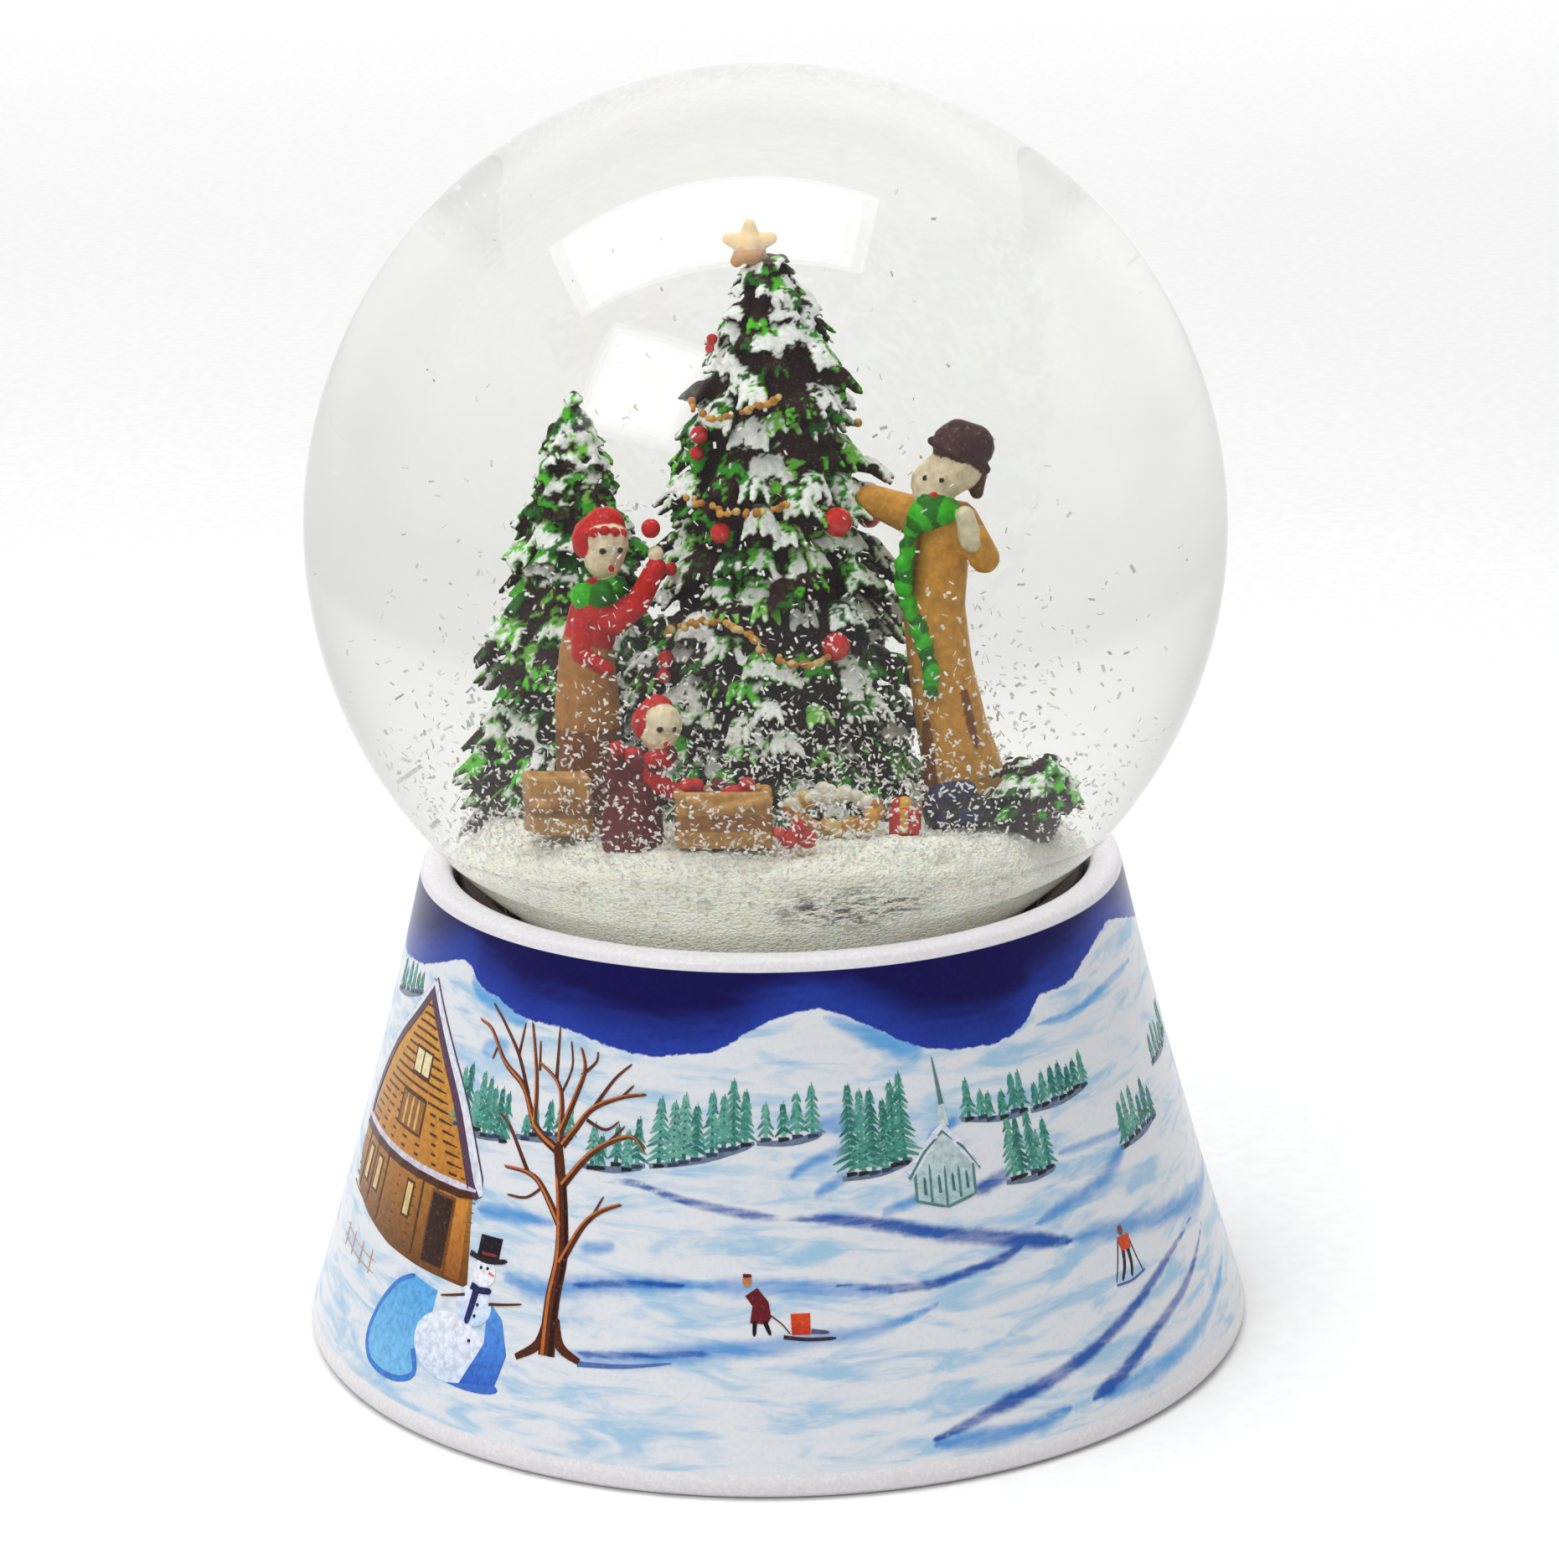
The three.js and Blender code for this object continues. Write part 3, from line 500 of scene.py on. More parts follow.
# Brush lines of the print: (azimuth in degrees, height) points, half width at each end, kind.
DEEP = "stroke_deep"
SOFT = "stroke_soft"
CYAN = "stroke_cyan"
SLOPE = 1.04  # length along the leaning wall for each unit of height
STROKES = [
    ([(-25, 30.7), (-19.3, 30.9), (-12.9, 29.7), (-5.7, 28.7), (0, 28.1)], 0.25, 0.5, DEEP),
    ([(0, 28.1), (6.5, 27.8), (13.6, 26.9), (20.7, 25.3), (28.3, 23.8), (35.8, 22.2),
      (41, 21.2)], 0.5, 0.9, DEEP),
    ([(41, 21.2), (47.6, 20.7), (54.7, 19.7), (63.9, 18.6), (74, 17.4), (88, 17.5)], 0.8, 0.9, SOFT),
    ([(35.5, 23), (30.3, 21.5), (25.3, 20.9), (18, 20.2), (7.5, 21.1)], 0.5, 0.4, DEEP),
    ([(-37.2, 19.2), (-31.4, 18.6), (-27.4, 19.6), (-18.7, 20.9), (-10.7, 21.3)], 0.9, 0.7, SOFT),
    ([(-28, 19.6), (-20, 20.8), (-12, 21.2)], 0.35, 0.3, DEEP),
    ([(-10.7, 21.3), (-4.6, 21.2), (0.1, 21.2), (7.8, 20.8), (14.6, 20.1)], 0.8, 0.5, SOFT),
    ([(-28, 13), (-20, 13.2), (-13.5, 14.1), (-8.8, 14.7), (-2.3, 15.3), (5.9, 16.1), (12.5, 16.5),
      (20.2, 18.2)], 0.9, 0.5, SOFT),
    ([(-26, 13.1), (-18, 13.8), (-8, 14.7)], 0.35, 0.3, DEEP),
    ([(-43.3, 25), (-36.4, 25.5), (-30.6, 25.7)], 0.7, 0.4, SOFT),
    ([(-26, 23.7), (-22, 24.3)], 0.6, 0.4, SOFT),
    ([(1.4, 31.9), (5.1, 33.7), (10, 34.8)], 0.35, 0.5, SOFT),
    ([(4.9, 30.2), (9.4, 32)], 0.35, 0.5, SOFT),
    ([(6, 37.2), (10.4, 37.2)], 0.6, 0.9, SOFT),
    ([(27.6, 28.6), (32.4, 29.6)], 0.7, 0.7, DEEP),
    ([(13.8, 27.9), (19, 28.9)], 0.3, 0.5, SOFT),
    ([(35.8, 23.8), (42.7, 25), (49.8, 25.8), (54.9, 27.8)], 0.5, 0.8, SOFT),
    ([(41.9, 30.1), (48, 29.9), (56, 29.6)], 0.4, 0.3, SOFT),
    ([(26, 36.2), (22, 34.9)], 0.5, 0.4, SOFT),
    ([(70.1, 16.3), (61, 15), (53.5, 13.1), (47.7, 11.5), (40.2, 9.5), (32, 7.9), (26.3, 6.9),
      (18, 4.9)], 0.4, 0.8, DEEP),
    ([(73.7, 14.8), (63.4, 11.2), (52.7, 8.7), (44.9, 6.2), (39.9, 5.1)], 0.3, 0.9, DEEP),
    ([(18, 4.4), (28.7, 4.2), (36, 4.9)], 0.9, 0.4, SOFT),
    ([(40, 4.8), (50, 4.8), (60, 5.6), (70, 7.2), (78, 9)], 1.0, 0.4, CYAN),
    ([(-53, 48), (-50, 46.4), (-45, 45.8), (-40, 45)], 0.5, 0.9, CYAN),
    ([(7.5, 48), (12, 46.6), (17, 44.8), (21, 43.8)], 0.5, 1.3, CYAN),
    ([(42, 43.6), (50, 43.2), (60, 44.2), (72, 44.6)], 0.4, 0.4, CYAN),
    ([(-52, 14.6), (-54.5, 12.4), (-55.5, 9.5), (-55.2, 6.6)], 2.2, 2.6, CYAN),
    ([(-43, 42), (-47, 41.2)], 0.9, 0.6, CYAN),
    ([(84, 24), (100, 27), (120, 25), (142, 28), (160, 26), (178, 27)], 0.4, 0.8, DEEP),
    ([(90, 14), (110, 16.5), (134, 13), (158, 17), (176, 15)], 0.8, 0.6, SOFT),
    ([(-178, 27), (-160, 24), (-140, 27.5), (-118, 25), (-98, 27), (-86, 25.5)], 0.7, 0.4, DEEP),
    ([(-176, 13), (-150, 16), (-128, 12.5), (-104, 15), (-84, 12.5)], 0.6, 0.9, SOFT),
]


def smooth_line(points, per_span=6):
    """A curve through the points (Catmull-Rom)."""
    p = np.array([points[0], *points, points[-1]], float)
    t = np.linspace(0, 1, per_span, endpoint=False)[:, None]
    spans = []
    for a, b, c, d in zip(p, p[1:], p[2:], p[3:]):
        square, cube = (2 * a - 5 * b + 4 * c - d) * t**2, (3 * b - a - 3 * c + d) * t**3
        spans.append(0.5 * (2 * b + (c - a) * t + square + cube))
    return np.concatenate([*spans, p[-1:]])


def stroke_field(azimuth, height, kind):
    """How many half widths each point lies from the nearest brush line of a kind, up to 4."""
    per_degree = math.radians(1) * base_radius(height)
    field = np.full(len(azimuth), 4.0)
    for points, w0, w1, this_kind in STROKES:
        if this_kind != kind:
            continue
        line = smooth_line(points)
        share = np.linspace(0, 1, len(line))
        ends = np.minimum(1, 0.25 + 4 * np.minimum(share, share[::-1]))
        widths = np.linspace(w0, w1, len(line)) * ends
        for a, b, w in zip(line, line[1:], widths):
            rise = np.full(len(azimuth), (b[1] - a[1]) * SLOPE)
            axis = np.stack([(b[0] - a[0]) * per_degree, rise], -1)
            rel = np.stack([(azimuth - a[0]) * per_degree, (height - a[1]) * SLOPE], -1)
            t = np.clip((rel * axis).sum(-1) / np.maximum((axis**2).sum(-1), 1e-9), 0, 1)
            field = np.minimum(field, np.linalg.norm(rel - t[:, None] * axis, axis=1) / w)
    return field


WIDE_BRUSH = (0.35, 0.35, 1.6)


def brushed_snow(f, wash, fine):
    """Pale snow in blue and grey washes, with the brush lines laid on it one kind after another."""
    snow = f.mix(f.fade(wash, 0.44, 0.66, 0, 0.9), srgb(212, 214, 218), srgb(150, 186, 212))
    lilac = f.fade(f.noise(0.5, 4, 0.6, WIDE_BRUSH), 0.56, 0.74, 0, 0.55)
    snow = f.mix(lilac, snow, srgb(212, 206, 212))
    snow = f.mix(f.fade(fine, 0.45, 0.75, 0, 0.3), snow, srgb(186, 198, 210))
    wobble = f.math("MULTIPLY_ADD", f.noise(0.9, 3, 0.5), 0.9, -0.45)
    for kind, colour, near, far, top in (
        (CYAN, srgb(72, 150, 206), 0.4, 1.8, 0.8),
        (SOFT, srgb(72, 138, 198), 0.2, 2.2, 0.85),
        (DEEP, srgb(24, 78, 158), 0.4, 1.7, 0.92),
    ):
        near_line = f.fade(f.math("ADD", f.attribute(kind), wobble), near, far, top, 0.0)
        strength = f.math("MULTIPLY", near_line, f.fade(wash, 0.25, 0.6, 0.55, 1.0))
        snow = f.mix(strength, snow, colour)
    return snow


def glazed_print():
    """The glaze and, under it, snow below the ridge, sky above it, and plain white at the rim and foot."""
    f = Finish("glazed_print", Roughness=0.24, Specular_IOR_Level=0.25)
    wash = f.noise(0.28, 5, 0.6, WIDE_BRUSH, 0.6)
    fine = f.noise(2.2, 3, 0.6)
    above = f.attribute("above_ridge")
    high = f.fade(f.math("MULTIPLY_ADD", wash, 5.0, above), 2.5, 8.0)
    sky = f.mix(high, srgb(42, 66, 156), srgb(18, 10, 80))
    sky = f.mix(f.fade(f.noise(1.4, 4, 0.7), 0.4, 0.75, 0, 0.3), sky, srgb(26, 28, 112))
    edge = f.math("MULTIPLY_ADD", f.noise(0.8, 4, 0.65), 0.9, f.math("ADD", above, -0.45))
    scene = f.mix(f.fade(edge, -0.12, 0.12), brushed_snow(f, wash, fine), sky)
    rim = f.fade(f.attribute("rim"), 0.4, 0.6)
    white = f.mix(f.fade(fine, 0.4, 0.7), srgb(212, 210, 214), srgb(222, 220, 220))
    f.colour(f.mix(rim, scene, white))
    return f.bump(f.noise(0.12, 2), 0.12, 0.35).material


def add_base():
    """The porcelain shell: flared wall, rolled lip, inner shelf for the holder, and a hollow foot."""
    outside = [(base_radius(z), z) for z in np.linspace(1.6, 52.4, 92)]
    lip = [(38.75, 52.9), (38.62, 53.3), (38.35, 53.65), (37.9, 53.9), (37.4, 54.0), (36.6, 54.0)]
    lip += [(36.0, 53.9), (35.6, 53.6), (35.35, 53.2), (35.28, 52.4)]
    shelf = [(35.9, 46), (37.2, 40), (37.9, 38.5), (31.9, 38.5), (31.5, 38.1), (31.5, 36.4), (31.9, 36.0)]
    inside = [(38.9, 36.0), (40.2, 32), (42.4, 24), (45.0, 14), (45.4, 10.8), (47.6, 10.8)]
    foot = [(48.0, 0.25), (48.3, 0.0), (51.9, 0.0), (52.5, 0.2), (52.95, 0.8)]
    points, faces = turned(outside + lip + shelf + inside + foot, 480)
    piece = mesh_piece("base_shell_glazed", points, faces, glazed_print())
    azimuth = np.degrees(np.arctan2(points[:, 0], -points[:, 1]))
    height = points[:, 2]
    ridge = smooth_line(RIDGE, 8)
    radius = np.hypot(points[:, 0], points[:, 1])
    outer = (np.abs(radius - base_radius(height)) < 0.3) & (height < 52.7)
    fields = {
        "above_ridge": height - np.interp(azimuth, ridge[:, 0], ridge[:, 1]),
        "rim": np.where(outer, np.clip((3.6 - height) / 1.6, 0, 1) * (height < 3.6), 1.0),
    }
    for kind in (DEEP, SOFT, CYAN):
        fields[kind] = stroke_field(azimuth, height, kind)
    for name, values in fields.items():
        layer = piece.data.attributes.new(name, "FLOAT", "POINT")
        layer.data.foreach_set("value", values.astype(np.float32))
    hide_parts("base_shell")


# ---------- pictures printed on the base ----------
PER_DEGREE = 0.83  # millimetres along the wall for one degree, near enough for every picture
DARK_PLANK = srgb(84, 48, 22)
TEALS = [srgb(70, 142, 128), srgb(92, 160, 146), srgb(50, 116, 108), srgb(116, 174, 158)]
FOOT_DAB = srgb(44, 42, 44)
WARM_BARK = srgb(88, 46, 24)
SNOW_INK = srgb(216, 220, 232)


def on_base(azimuth, height, lift):
    """A point on the base's wall, azimuth in degrees from the front, lifted off the glaze."""
    a = math.radians(azimuth)
    r = base_radius(height) + lift
    return (r * math.sin(a), -r * math.cos(a), height)


def inside_outline(point, ring):
    """Whether a flat point lies inside a ring, by the edges crossed on the way out."""
    x, y = point
    odd = False
    for (ax, ay), (bx, by) in zip(ring, ring[1:] + ring[:1]):
        if (ay > y) != (by > y) and x < ax + (y - ay) / (by - ay) * (bx - ax):
            odd = not odd
    return odd


def densify(ring, step):
    """The same ring with points about one step apart."""
    dense = []
    for (ax, ay), (bx, by) in zip(ring, ring[1:] + ring[:1]):
        count = max(1, int(math.dist((ax, ay), (bx, by)) / step))
        dense += [(ax + (bx - ax) * i / count, ay + (by - ay) * i / count) for i in range(count)]
    return dense


class Print:
    """Painted shapes on the base: thin closed skins given as (azimuth in degrees, height) outlines."""

    def __init__(self, name, seed=1):
        self.name = name
        self.points, self.faces, self.paint = [], [], []
        self.rng = random.Random(seed)

    def skin(self, sheet, faces, colours, layer):
        """Closes a flat net of (azimuth, height) points into a skin that hugs the base."""
        first, count = len(self.points), len(sheet)
        lift = 0.03 + 0.012 * layer + self.rng.uniform(0, 0.004)
        self.points += [on_base(a, h, lift) for a, h in sheet] + [on_base(a, h, -0.02) for a, h in sheet]
        self.paint += list(colours) * 2
        edges = {(f[i], f[(i + 1) % len(f)]) for f in faces for i in range(len(f))}
        walls = [(j, i, i + count, j + count) for i, j in edges if (j, i) not in edges]
        floor = [tuple(i + count for i in reversed(f)) for f in faces]
        self.faces += [tuple(first + i for i in f) for f in list(faces) + floor + walls]

    def area(self, outline, colour, layer=0, low_colour=None):
        """A filled outline that may fade to another colour at its foot."""
        ring = densify([(a * PER_DEGREE, h) for a, h in outline], 1.0)
        us, vs = zip(*ring)
        fill = [(u, v) for u in np.arange(min(us), max(us), 1.3) for v in np.arange(min(vs), max(vs), 1.6)]
        fill = [p for p in fill if inside_outline(p, ring) and min(math.dist(p, q) for q in ring) > 0.4]
        edges = [(i, (i + 1) % len(ring)) for i in range(len(ring))]
        net = geometry.delaunay_2d_cdt([Vector(p) for p in ring + fill], edges, [], 1, 1e-5)
        sheet = [(p.x / PER_DEGREE, p.y) for p in net[0]]
        low = low_colour or colour
        share = [(h - min(vs)) / (max(vs) - min(vs)) for _, h in sheet]
        tints = [tuple(l + (c - l) * s for c, l in zip(colour, low)) for s in share]
        self.skin(sheet, net[2], tints, layer)

    def blob(self, azimuth, height, wide, high, colour, layer=0, low_colour=None):
        """An oval; wide and high are half its size in millimetres."""
        turn = np.linspace(0, 2 * math.pi, 22, endpoint=False)
        ring = [(azimuth + wide * math.cos(t) / PER_DEGREE, height + high * math.sin(t)) for t in turn]
        self.area(ring, colour, layer, low_colour)

    def line(self, points, start_width, end_width, colour, layer=0, end_colour=None, steps=4):
        """A brush line with pointed ends."""
        line = smooth_line(points, steps) * (PER_DEGREE, 1)
        along = np.gradient(line, axis=0)
        along /= np.maximum(np.linalg.norm(along, axis=1, keepdims=True), 1e-6)
        side = np.stack([-along[:, 1], along[:, 0]], -1)
        half = np.linspace(start_width, end_width, len(line)) / 2
        half[-1] *= 0.4
        edges = np.concatenate([line + side * half[:, None], (line - side * half[:, None])])
        count = len(line)
        faces = [(i, count + i, count + i + 1, i + 1) for i in range(count - 1)]
        sheet = [(u / PER_DEGREE, v) for u, v in edges]
        share = np.tile(np.linspace(0, 1, count), 2)[:, None]
        tint = np.array(colour) * (1 - share) + np.array(end_colour or colour) * share
        self.skin(sheet, faces, [tuple(t) for t in tint], layer)

    def finish(self, material):
        """Makes the piece. Call it once all the picture's shapes are in."""
        piece = mesh_piece(self.name, self.points, self.faces, material, self.paint, smooth=False)


def ink():
    """Transfer ink under the glaze: colours come with the mesh, softly clouded."""
    f = Finish("transfer_ink", Roughness=0.28, Specular_IOR_Level=0.25)
    paint = f.attribute("paint", "Color")
    cloud = f.noise(1.3, 4, 0.65)
    tone = f.mix(f.fade(cloud, 0.35, 0.7, 0, 0.3), paint, srgb(30, 24, 40))
    f.colour(f.mix(f.fade(f.noise(2.4, 3, 0.6), 0.55, 0.8, 0, 0.14), tone, srgb(214, 216, 226)))
    return f.bump(f.noise(0.12, 2), 0.12, 0.3).material


def print_cabin(material):
    """A plank house seen from its gable end, with its fence."""
    art = Print("print_cabin", 5)
    gable = [(-63, 44.2), (-55.4, 38.6), (-49.4, 33.2), (-44.9, 26.6), (-77.4, 26.4), (-76.6, 31),
             (-72.6, 36.9), (-66, 42.4)]
    art.area(gable, srgb(208, 154, 66), 0, srgb(188, 128, 46))
    wall = [(-79.2, 26.6), (-44.8, 26.4), (-42.9, 16.8), (-53, 16.9), (-60.7, 17.2), (-69.5, 18.3),
            (-76.5, 19.6), (-79.6, 23)]
    art.area(wall, srgb(176, 122, 46), 0, srgb(112, 70, 28))
    for height in np.arange(27.4, 43.4, 0.95):
        half = (44.6 - height) / 18.3
        left, right = -62.2 - 14.6 * min(1, half * 1.12), -63.6 + 18.0 * half
        art.line([(left, height), (-63, height + 0.1), (right, height)], 0.26, 0.3, DARK_PLANK, 1)
    for height in np.arange(18.4, 25.8, 1.0):
        art.line([(-78.6, height + 0.9), (-62, height), (-44, height)], 0.18, 0.2, srgb(110, 68, 30), 1)
    for azimuth in (-75.8, -71.2, -66.4, -55.4):
        foot = 17.6 + max(0, (-60 - azimuth) * 0.12)
        art.line([(azimuth, 26), (azimuth + 0.3, foot)], 0.35, 0.35, DARK_PLANK, 2)
    cabin_openings(art)
    cabin_roof(art)
    for height in (13.4, 14.6):
        rail = [(-76, height + 0.5), (-70, height), (-63, height - 0.1)]
        art.line(rail, 0.2, 0.15, srgb(196, 160, 140), 1)
    for azimuth in (-75, -71.6, -68, -64.6):
        art.line([(azimuth, 12.9), (azimuth, 15.4)], 0.25, 0.2, srgb(190, 150, 130), 1)
    art.finish(material)


def frame_area(art, left, right, low, high, glass, edge):
    """A pane inside its frame, both square to the ground."""
    for layer, colour, in_u, in_v in ((2, edge, 0, 0), (3, glass, 0.42, 0.3)):
        west, east, south, north = left + in_u, right - in_u, low + in_v, high - in_v
        art.area([(west, south), (east, south), (east, north), (west, north)], colour, layer)


def cabin_openings(art):
    cream = srgb(226, 214, 170)
    frame_area(art, -64.8, -59.2, 35.2, 38.2, cream, DARK_PLANK)
    art.line([(-62, 35.3), (-62, 38.1)], 0.3, 0.3, DARK_PLANK, 4)
    frame_area(art, -66.4, -58.6, 29.2, 33.2, srgb(150, 104, 48), DARK_PLANK)
    for azimuth in (-64.4, -62.5, -60.6):
        art.line([(azimuth, 29.6), (azimuth, 32.9)], 0.5, 0.5, srgb(216, 176, 106), 4)
    for azimuth in (-73.6, -69, -58.4):
        frame_area(art, azimuth - 1.1, azimuth + 1.1, 20.8, 24.8, srgb(214, 190, 132), DARK_PLANK)
    frame_area(art, -53.0, -47.8, 17.4, 25.2, srgb(58, 34, 20), srgb(120, 74, 30))
    door = [(-47.4, 17.2), (-44.4, 17.2), (-45.2, 25.4), (-47.6, 25.4)]
    art.area(door, srgb(204, 140, 60), 2, srgb(150, 90, 36))


def cabin_roof(art):
    plum = srgb(92, 66, 86)
    right = [(-63.4, 45.0), (-56, 39.6), (-49.6, 34), (-43.6, 26.0)]
    left = [(-62.8, 45.0), (-67, 41.6), (-73.6, 36.6), (-78.2, 30.6), (-79.2, 25.6)]
    art.line(right, 2.3, 2.7, plum, 5)
    art.line([(a + 0.5, h + 0.35) for a, h in right], 0.9, 1.3, SNOW_INK, 6)
    art.line(left, 1.7, 1.9, plum, 5)
    art.line([(a - 0.4, h + 0.3) for a, h in left], 0.7, 0.9, SNOW_INK, 6)
    art.line([(-79, 26.2), (-62, 26.0), (-43.8, 26.1)], 1.2, 1.2, srgb(80, 44, 26), 5)
    art.line([(-79, 26.9), (-62, 26.6), (-44.2, 26.7)], 0.6, 0.7, srgb(206, 200, 214), 6)


# The bare tree: its trunk, then each branch after its width at the root.
TRUNK = [(-29.3, 12.4), (-29.4, 18), (-28.9, 22.5), (-29.4, 26.5), (-30.4, 30.6), (-31.4, 33.8)]
BRANCHES = [
    (1.0, [(-31.6, 33.1), (-35.4, 34.9), (-38.3, 38.5), (-42.6, 40.5), (-46.2, 43.3), (-49, 43.9)]),
    (0.5, [(-37.4, 37.9), (-40.1, 41.6), (-43.8, 44.4), (-46.7, 46)]),
    (0.4, [(-40.1, 41.6), (-39.6, 45)]),
    (0.7, [(-35.6, 34.6), (-36.2, 39.6), (-38.2, 45.2)]),
    (0.35, [(-35.9, 40.6), (-36.4, 43.6)]),
    (0.8, [(-31.1, 33.8), (-31.5, 38), (-32.8, 40), (-36, 41.4)]),
    (0.5, [(-32.8, 40), (-33.2, 45.5)]),
    (0.8, [(-31.1, 35), (-29.2, 39), (-28.2, 41.6), (-29.1, 43.7)]),
    (0.4, [(-28.7, 41), (-26.6, 42.5), (-26.4, 43.6)]),
    (0.9, [(-30.6, 33.6), (-28.9, 35.4), (-26.4, 37.8), (-22.2, 39.3), (-18.4, 39.9)]),
    (0.5, [(-26.4, 37.8), (-23.5, 41), (-20.9, 42.8)]),
    (0.35, [(-22.2, 39.3), (-20.4, 40.7)]),
    (0.9, [(-29.9, 29.6), (-26.8, 32.7), (-23.8, 34.5), (-20.1, 35.5), (-18.2, 34.2)]),
    (0.4, [(-23.8, 34.5), (-21.3, 36.5)]),
    (0.9, [(-29.6, 25.6), (-33, 29), (-35.6, 30.1), (-39.7, 30.1)]),
    (0.5, [(-35.6, 30.1), (-39.8, 34.2), (-42.2, 35.3)]),
    (0.35, [(-33, 29), (-35.4, 27.6), (-38.6, 27.4)]),
    (0.9, [(-28.9, 21.8), (-26.3, 25.8), (-23.9, 27.6), (-20.9, 28.6)]),
    (0.35, [(-25.4, 26.4), (-23.6, 29.2)]),
    (0.35, [(-27.2, 36.6), (-24.2, 35.9), (-22.2, 36.9)]),
    (0.3, [(-44.4, 42), (-45.2, 40.4)]),
    (0.3, [(-31.8, 38.6), (-30.4, 41.6), (-31, 44.2)]),
]


def print_bare_tree(material):
    art = Print("print_bare_tree", 6)
    art.line([(-33.6, 11.6), (-30.6, 13.4), (-29.4, 16.5)], 0.6, 1.5, WARM_BARK, 2)
    art.line([(-24.8, 12.4), (-27.6, 13.6), (-29, 16.5)], 0.6, 1.4, WARM_BARK, 2)
    art.line(TRUNK, 1.9, 1.15, srgb(96, 50, 26), 3, WARM_BARK, 8)
    art.line([(a - 0.6, h) for a, h in TRUNK[:5]], 0.4, 0.3, srgb(186, 112, 60), 5)
    art.line([(a + 0.55, h) for a, h in TRUNK[:5]], 0.6, 0.3, srgb(54, 26, 18), 4)
    for width, branch in BRANCHES:
        art.line(branch, width, 0.22, WARM_BARK, 3, srgb(120, 70, 48), 6)
        if width > 0.65:
            lit = [(a - 0.25, h + 0.12) for a, h in branch]
            art.line(lit, width * 0.35, 0.1, srgb(190, 120, 70), 5, None, 6)
    art.line([(-25, 12.2), (-19, 12.6), (-13, 13.4)], 0.6, 0.2, srgb(92, 120, 180), 1)
    art.finish(material)


def print_snowman(material):
    """Snowman in a dark hat, beside the blue edge of a drift."""
    art = Print("print_snowman", 7)
    drift = [(-53, 15.9), (-48, 15.4), (-48.4, 11.7), (-50.4, 8.7), (-49.4, 6.3), (-53.1, 4.9),
             (-58.5, 5.2), (-60.6, 7.4), (-59.4, 11), (-56.4, 14.3)]
    art.area(drift, srgb(92, 166, 222), 0, srgb(124, 188, 230))
    art.line(drift[3:] + drift[:1], 0.7, 0.5, srgb(62, 128, 204), 1)
    art.blob(-41.0, 7.7, 4.6, 0.9, srgb(70, 116, 200), 1)
    art.blob(-44.4, 10.4, 5.2, 3.5, srgb(228, 232, 242), 2, srgb(206, 218, 238))
    shade = [(-41.4, 7.4), (-36, 8.2), (-35, 11.4), (-36.4, 14.8), (-39, 16.4), (-38.6, 12)]
    art.area(shade, srgb(96, 156, 224), 3, srgb(56, 104, 196))
    art.blob(-41.3, 15.4, 2.5, 2.1, srgb(226, 230, 242), 4, srgb(190, 212, 240))
    art.blob(-40.3, 19.0, 1.5, 1.5, srgb(232, 234, 242), 5)
    art.line([(-43.3, 20.5), (-40.2, 20.2), (-37.0, 20.7)], 0.5, 0.5, FOOT_DAB, 7)
    art.area([(-42, 20.4), (-38.4, 20.5), (-38.2, 22.8), (-41.8, 22.7)], srgb(36, 30, 40), 7)
    art.line([(-41.2, 20.9), (-38.6, 21)], 0.3, 0.3, srgb(150, 60, 60), 8)
    art.line([(-42.2, 17.3), (-40.6, 17.1), (-38.8, 17.3)], 0.7, 0.6, srgb(40, 44, 96), 7)
    art.line([(-41.2, 17), (-41.6, 15), (-42, 13.4)], 0.9, 0.7, srgb(44, 48, 104), 7)
    art.line([(-43, 16.2), (-45.4, 15.6), (-47.2, 15.2)], 0.3, 0.15, WARM_BARK, 7)
    art.line([(-38.8, 16.0), (-36.4, 16.4), (-33.8, 16.9)], 0.3, 0.15, WARM_BARK, 7)
    art.line([(-39.6, 19.1), (-38.6, 18.9)], 0.35, 0.1, srgb(220, 120, 50), 7)
    for azimuth, height in ((-41, 19.4), (-39.9, 19.5), (-40.6, 15.6), (-40.8, 14.4), (-41, 11.8)):
        art.blob(azimuth, height, 0.18, 0.18, FOOT_DAB, 8)
    art.finish(material)


# Rows of firs: where each starts and ends, how many, how tall.
FIR_ROWS = [
    ((-51, 32.6), (-40, 33), 8, 6), ((-38, 33.6), (-29, 35), 5, 3.4), ((-27, 32.2), (-18, 32.8), 5, 4.6),
    ((-16.8, 33), (-2.9, 35.6), 8, 6.4), ((-2, 35.8), (6.4, 36.4), 4, 5.2),
    ((9.5, 31.9), (18.8, 33), 6, 8.4), ((27.3, 36.3), (38, 35.4), 6, 3.8),
    ((39, 35.4), (50.4, 35.9), 7, 3.4), ((33, 29), (41, 29), 5, 6),
    ((55.6, 28), (66.8, 28.8), 6, 4.6), ((71, 33.4), (84, 34), 6, 3.2), ((-80, 41), (-67, 43.4), 6, 3),
    ((96, 30), (124, 33), 13, 6.5), ((-126, 31), (-96, 33), 13, 6), ((138, 37), (170, 35), 12, 4.4),
    ((-172, 35.5), (-140, 37), 12, 5),
]


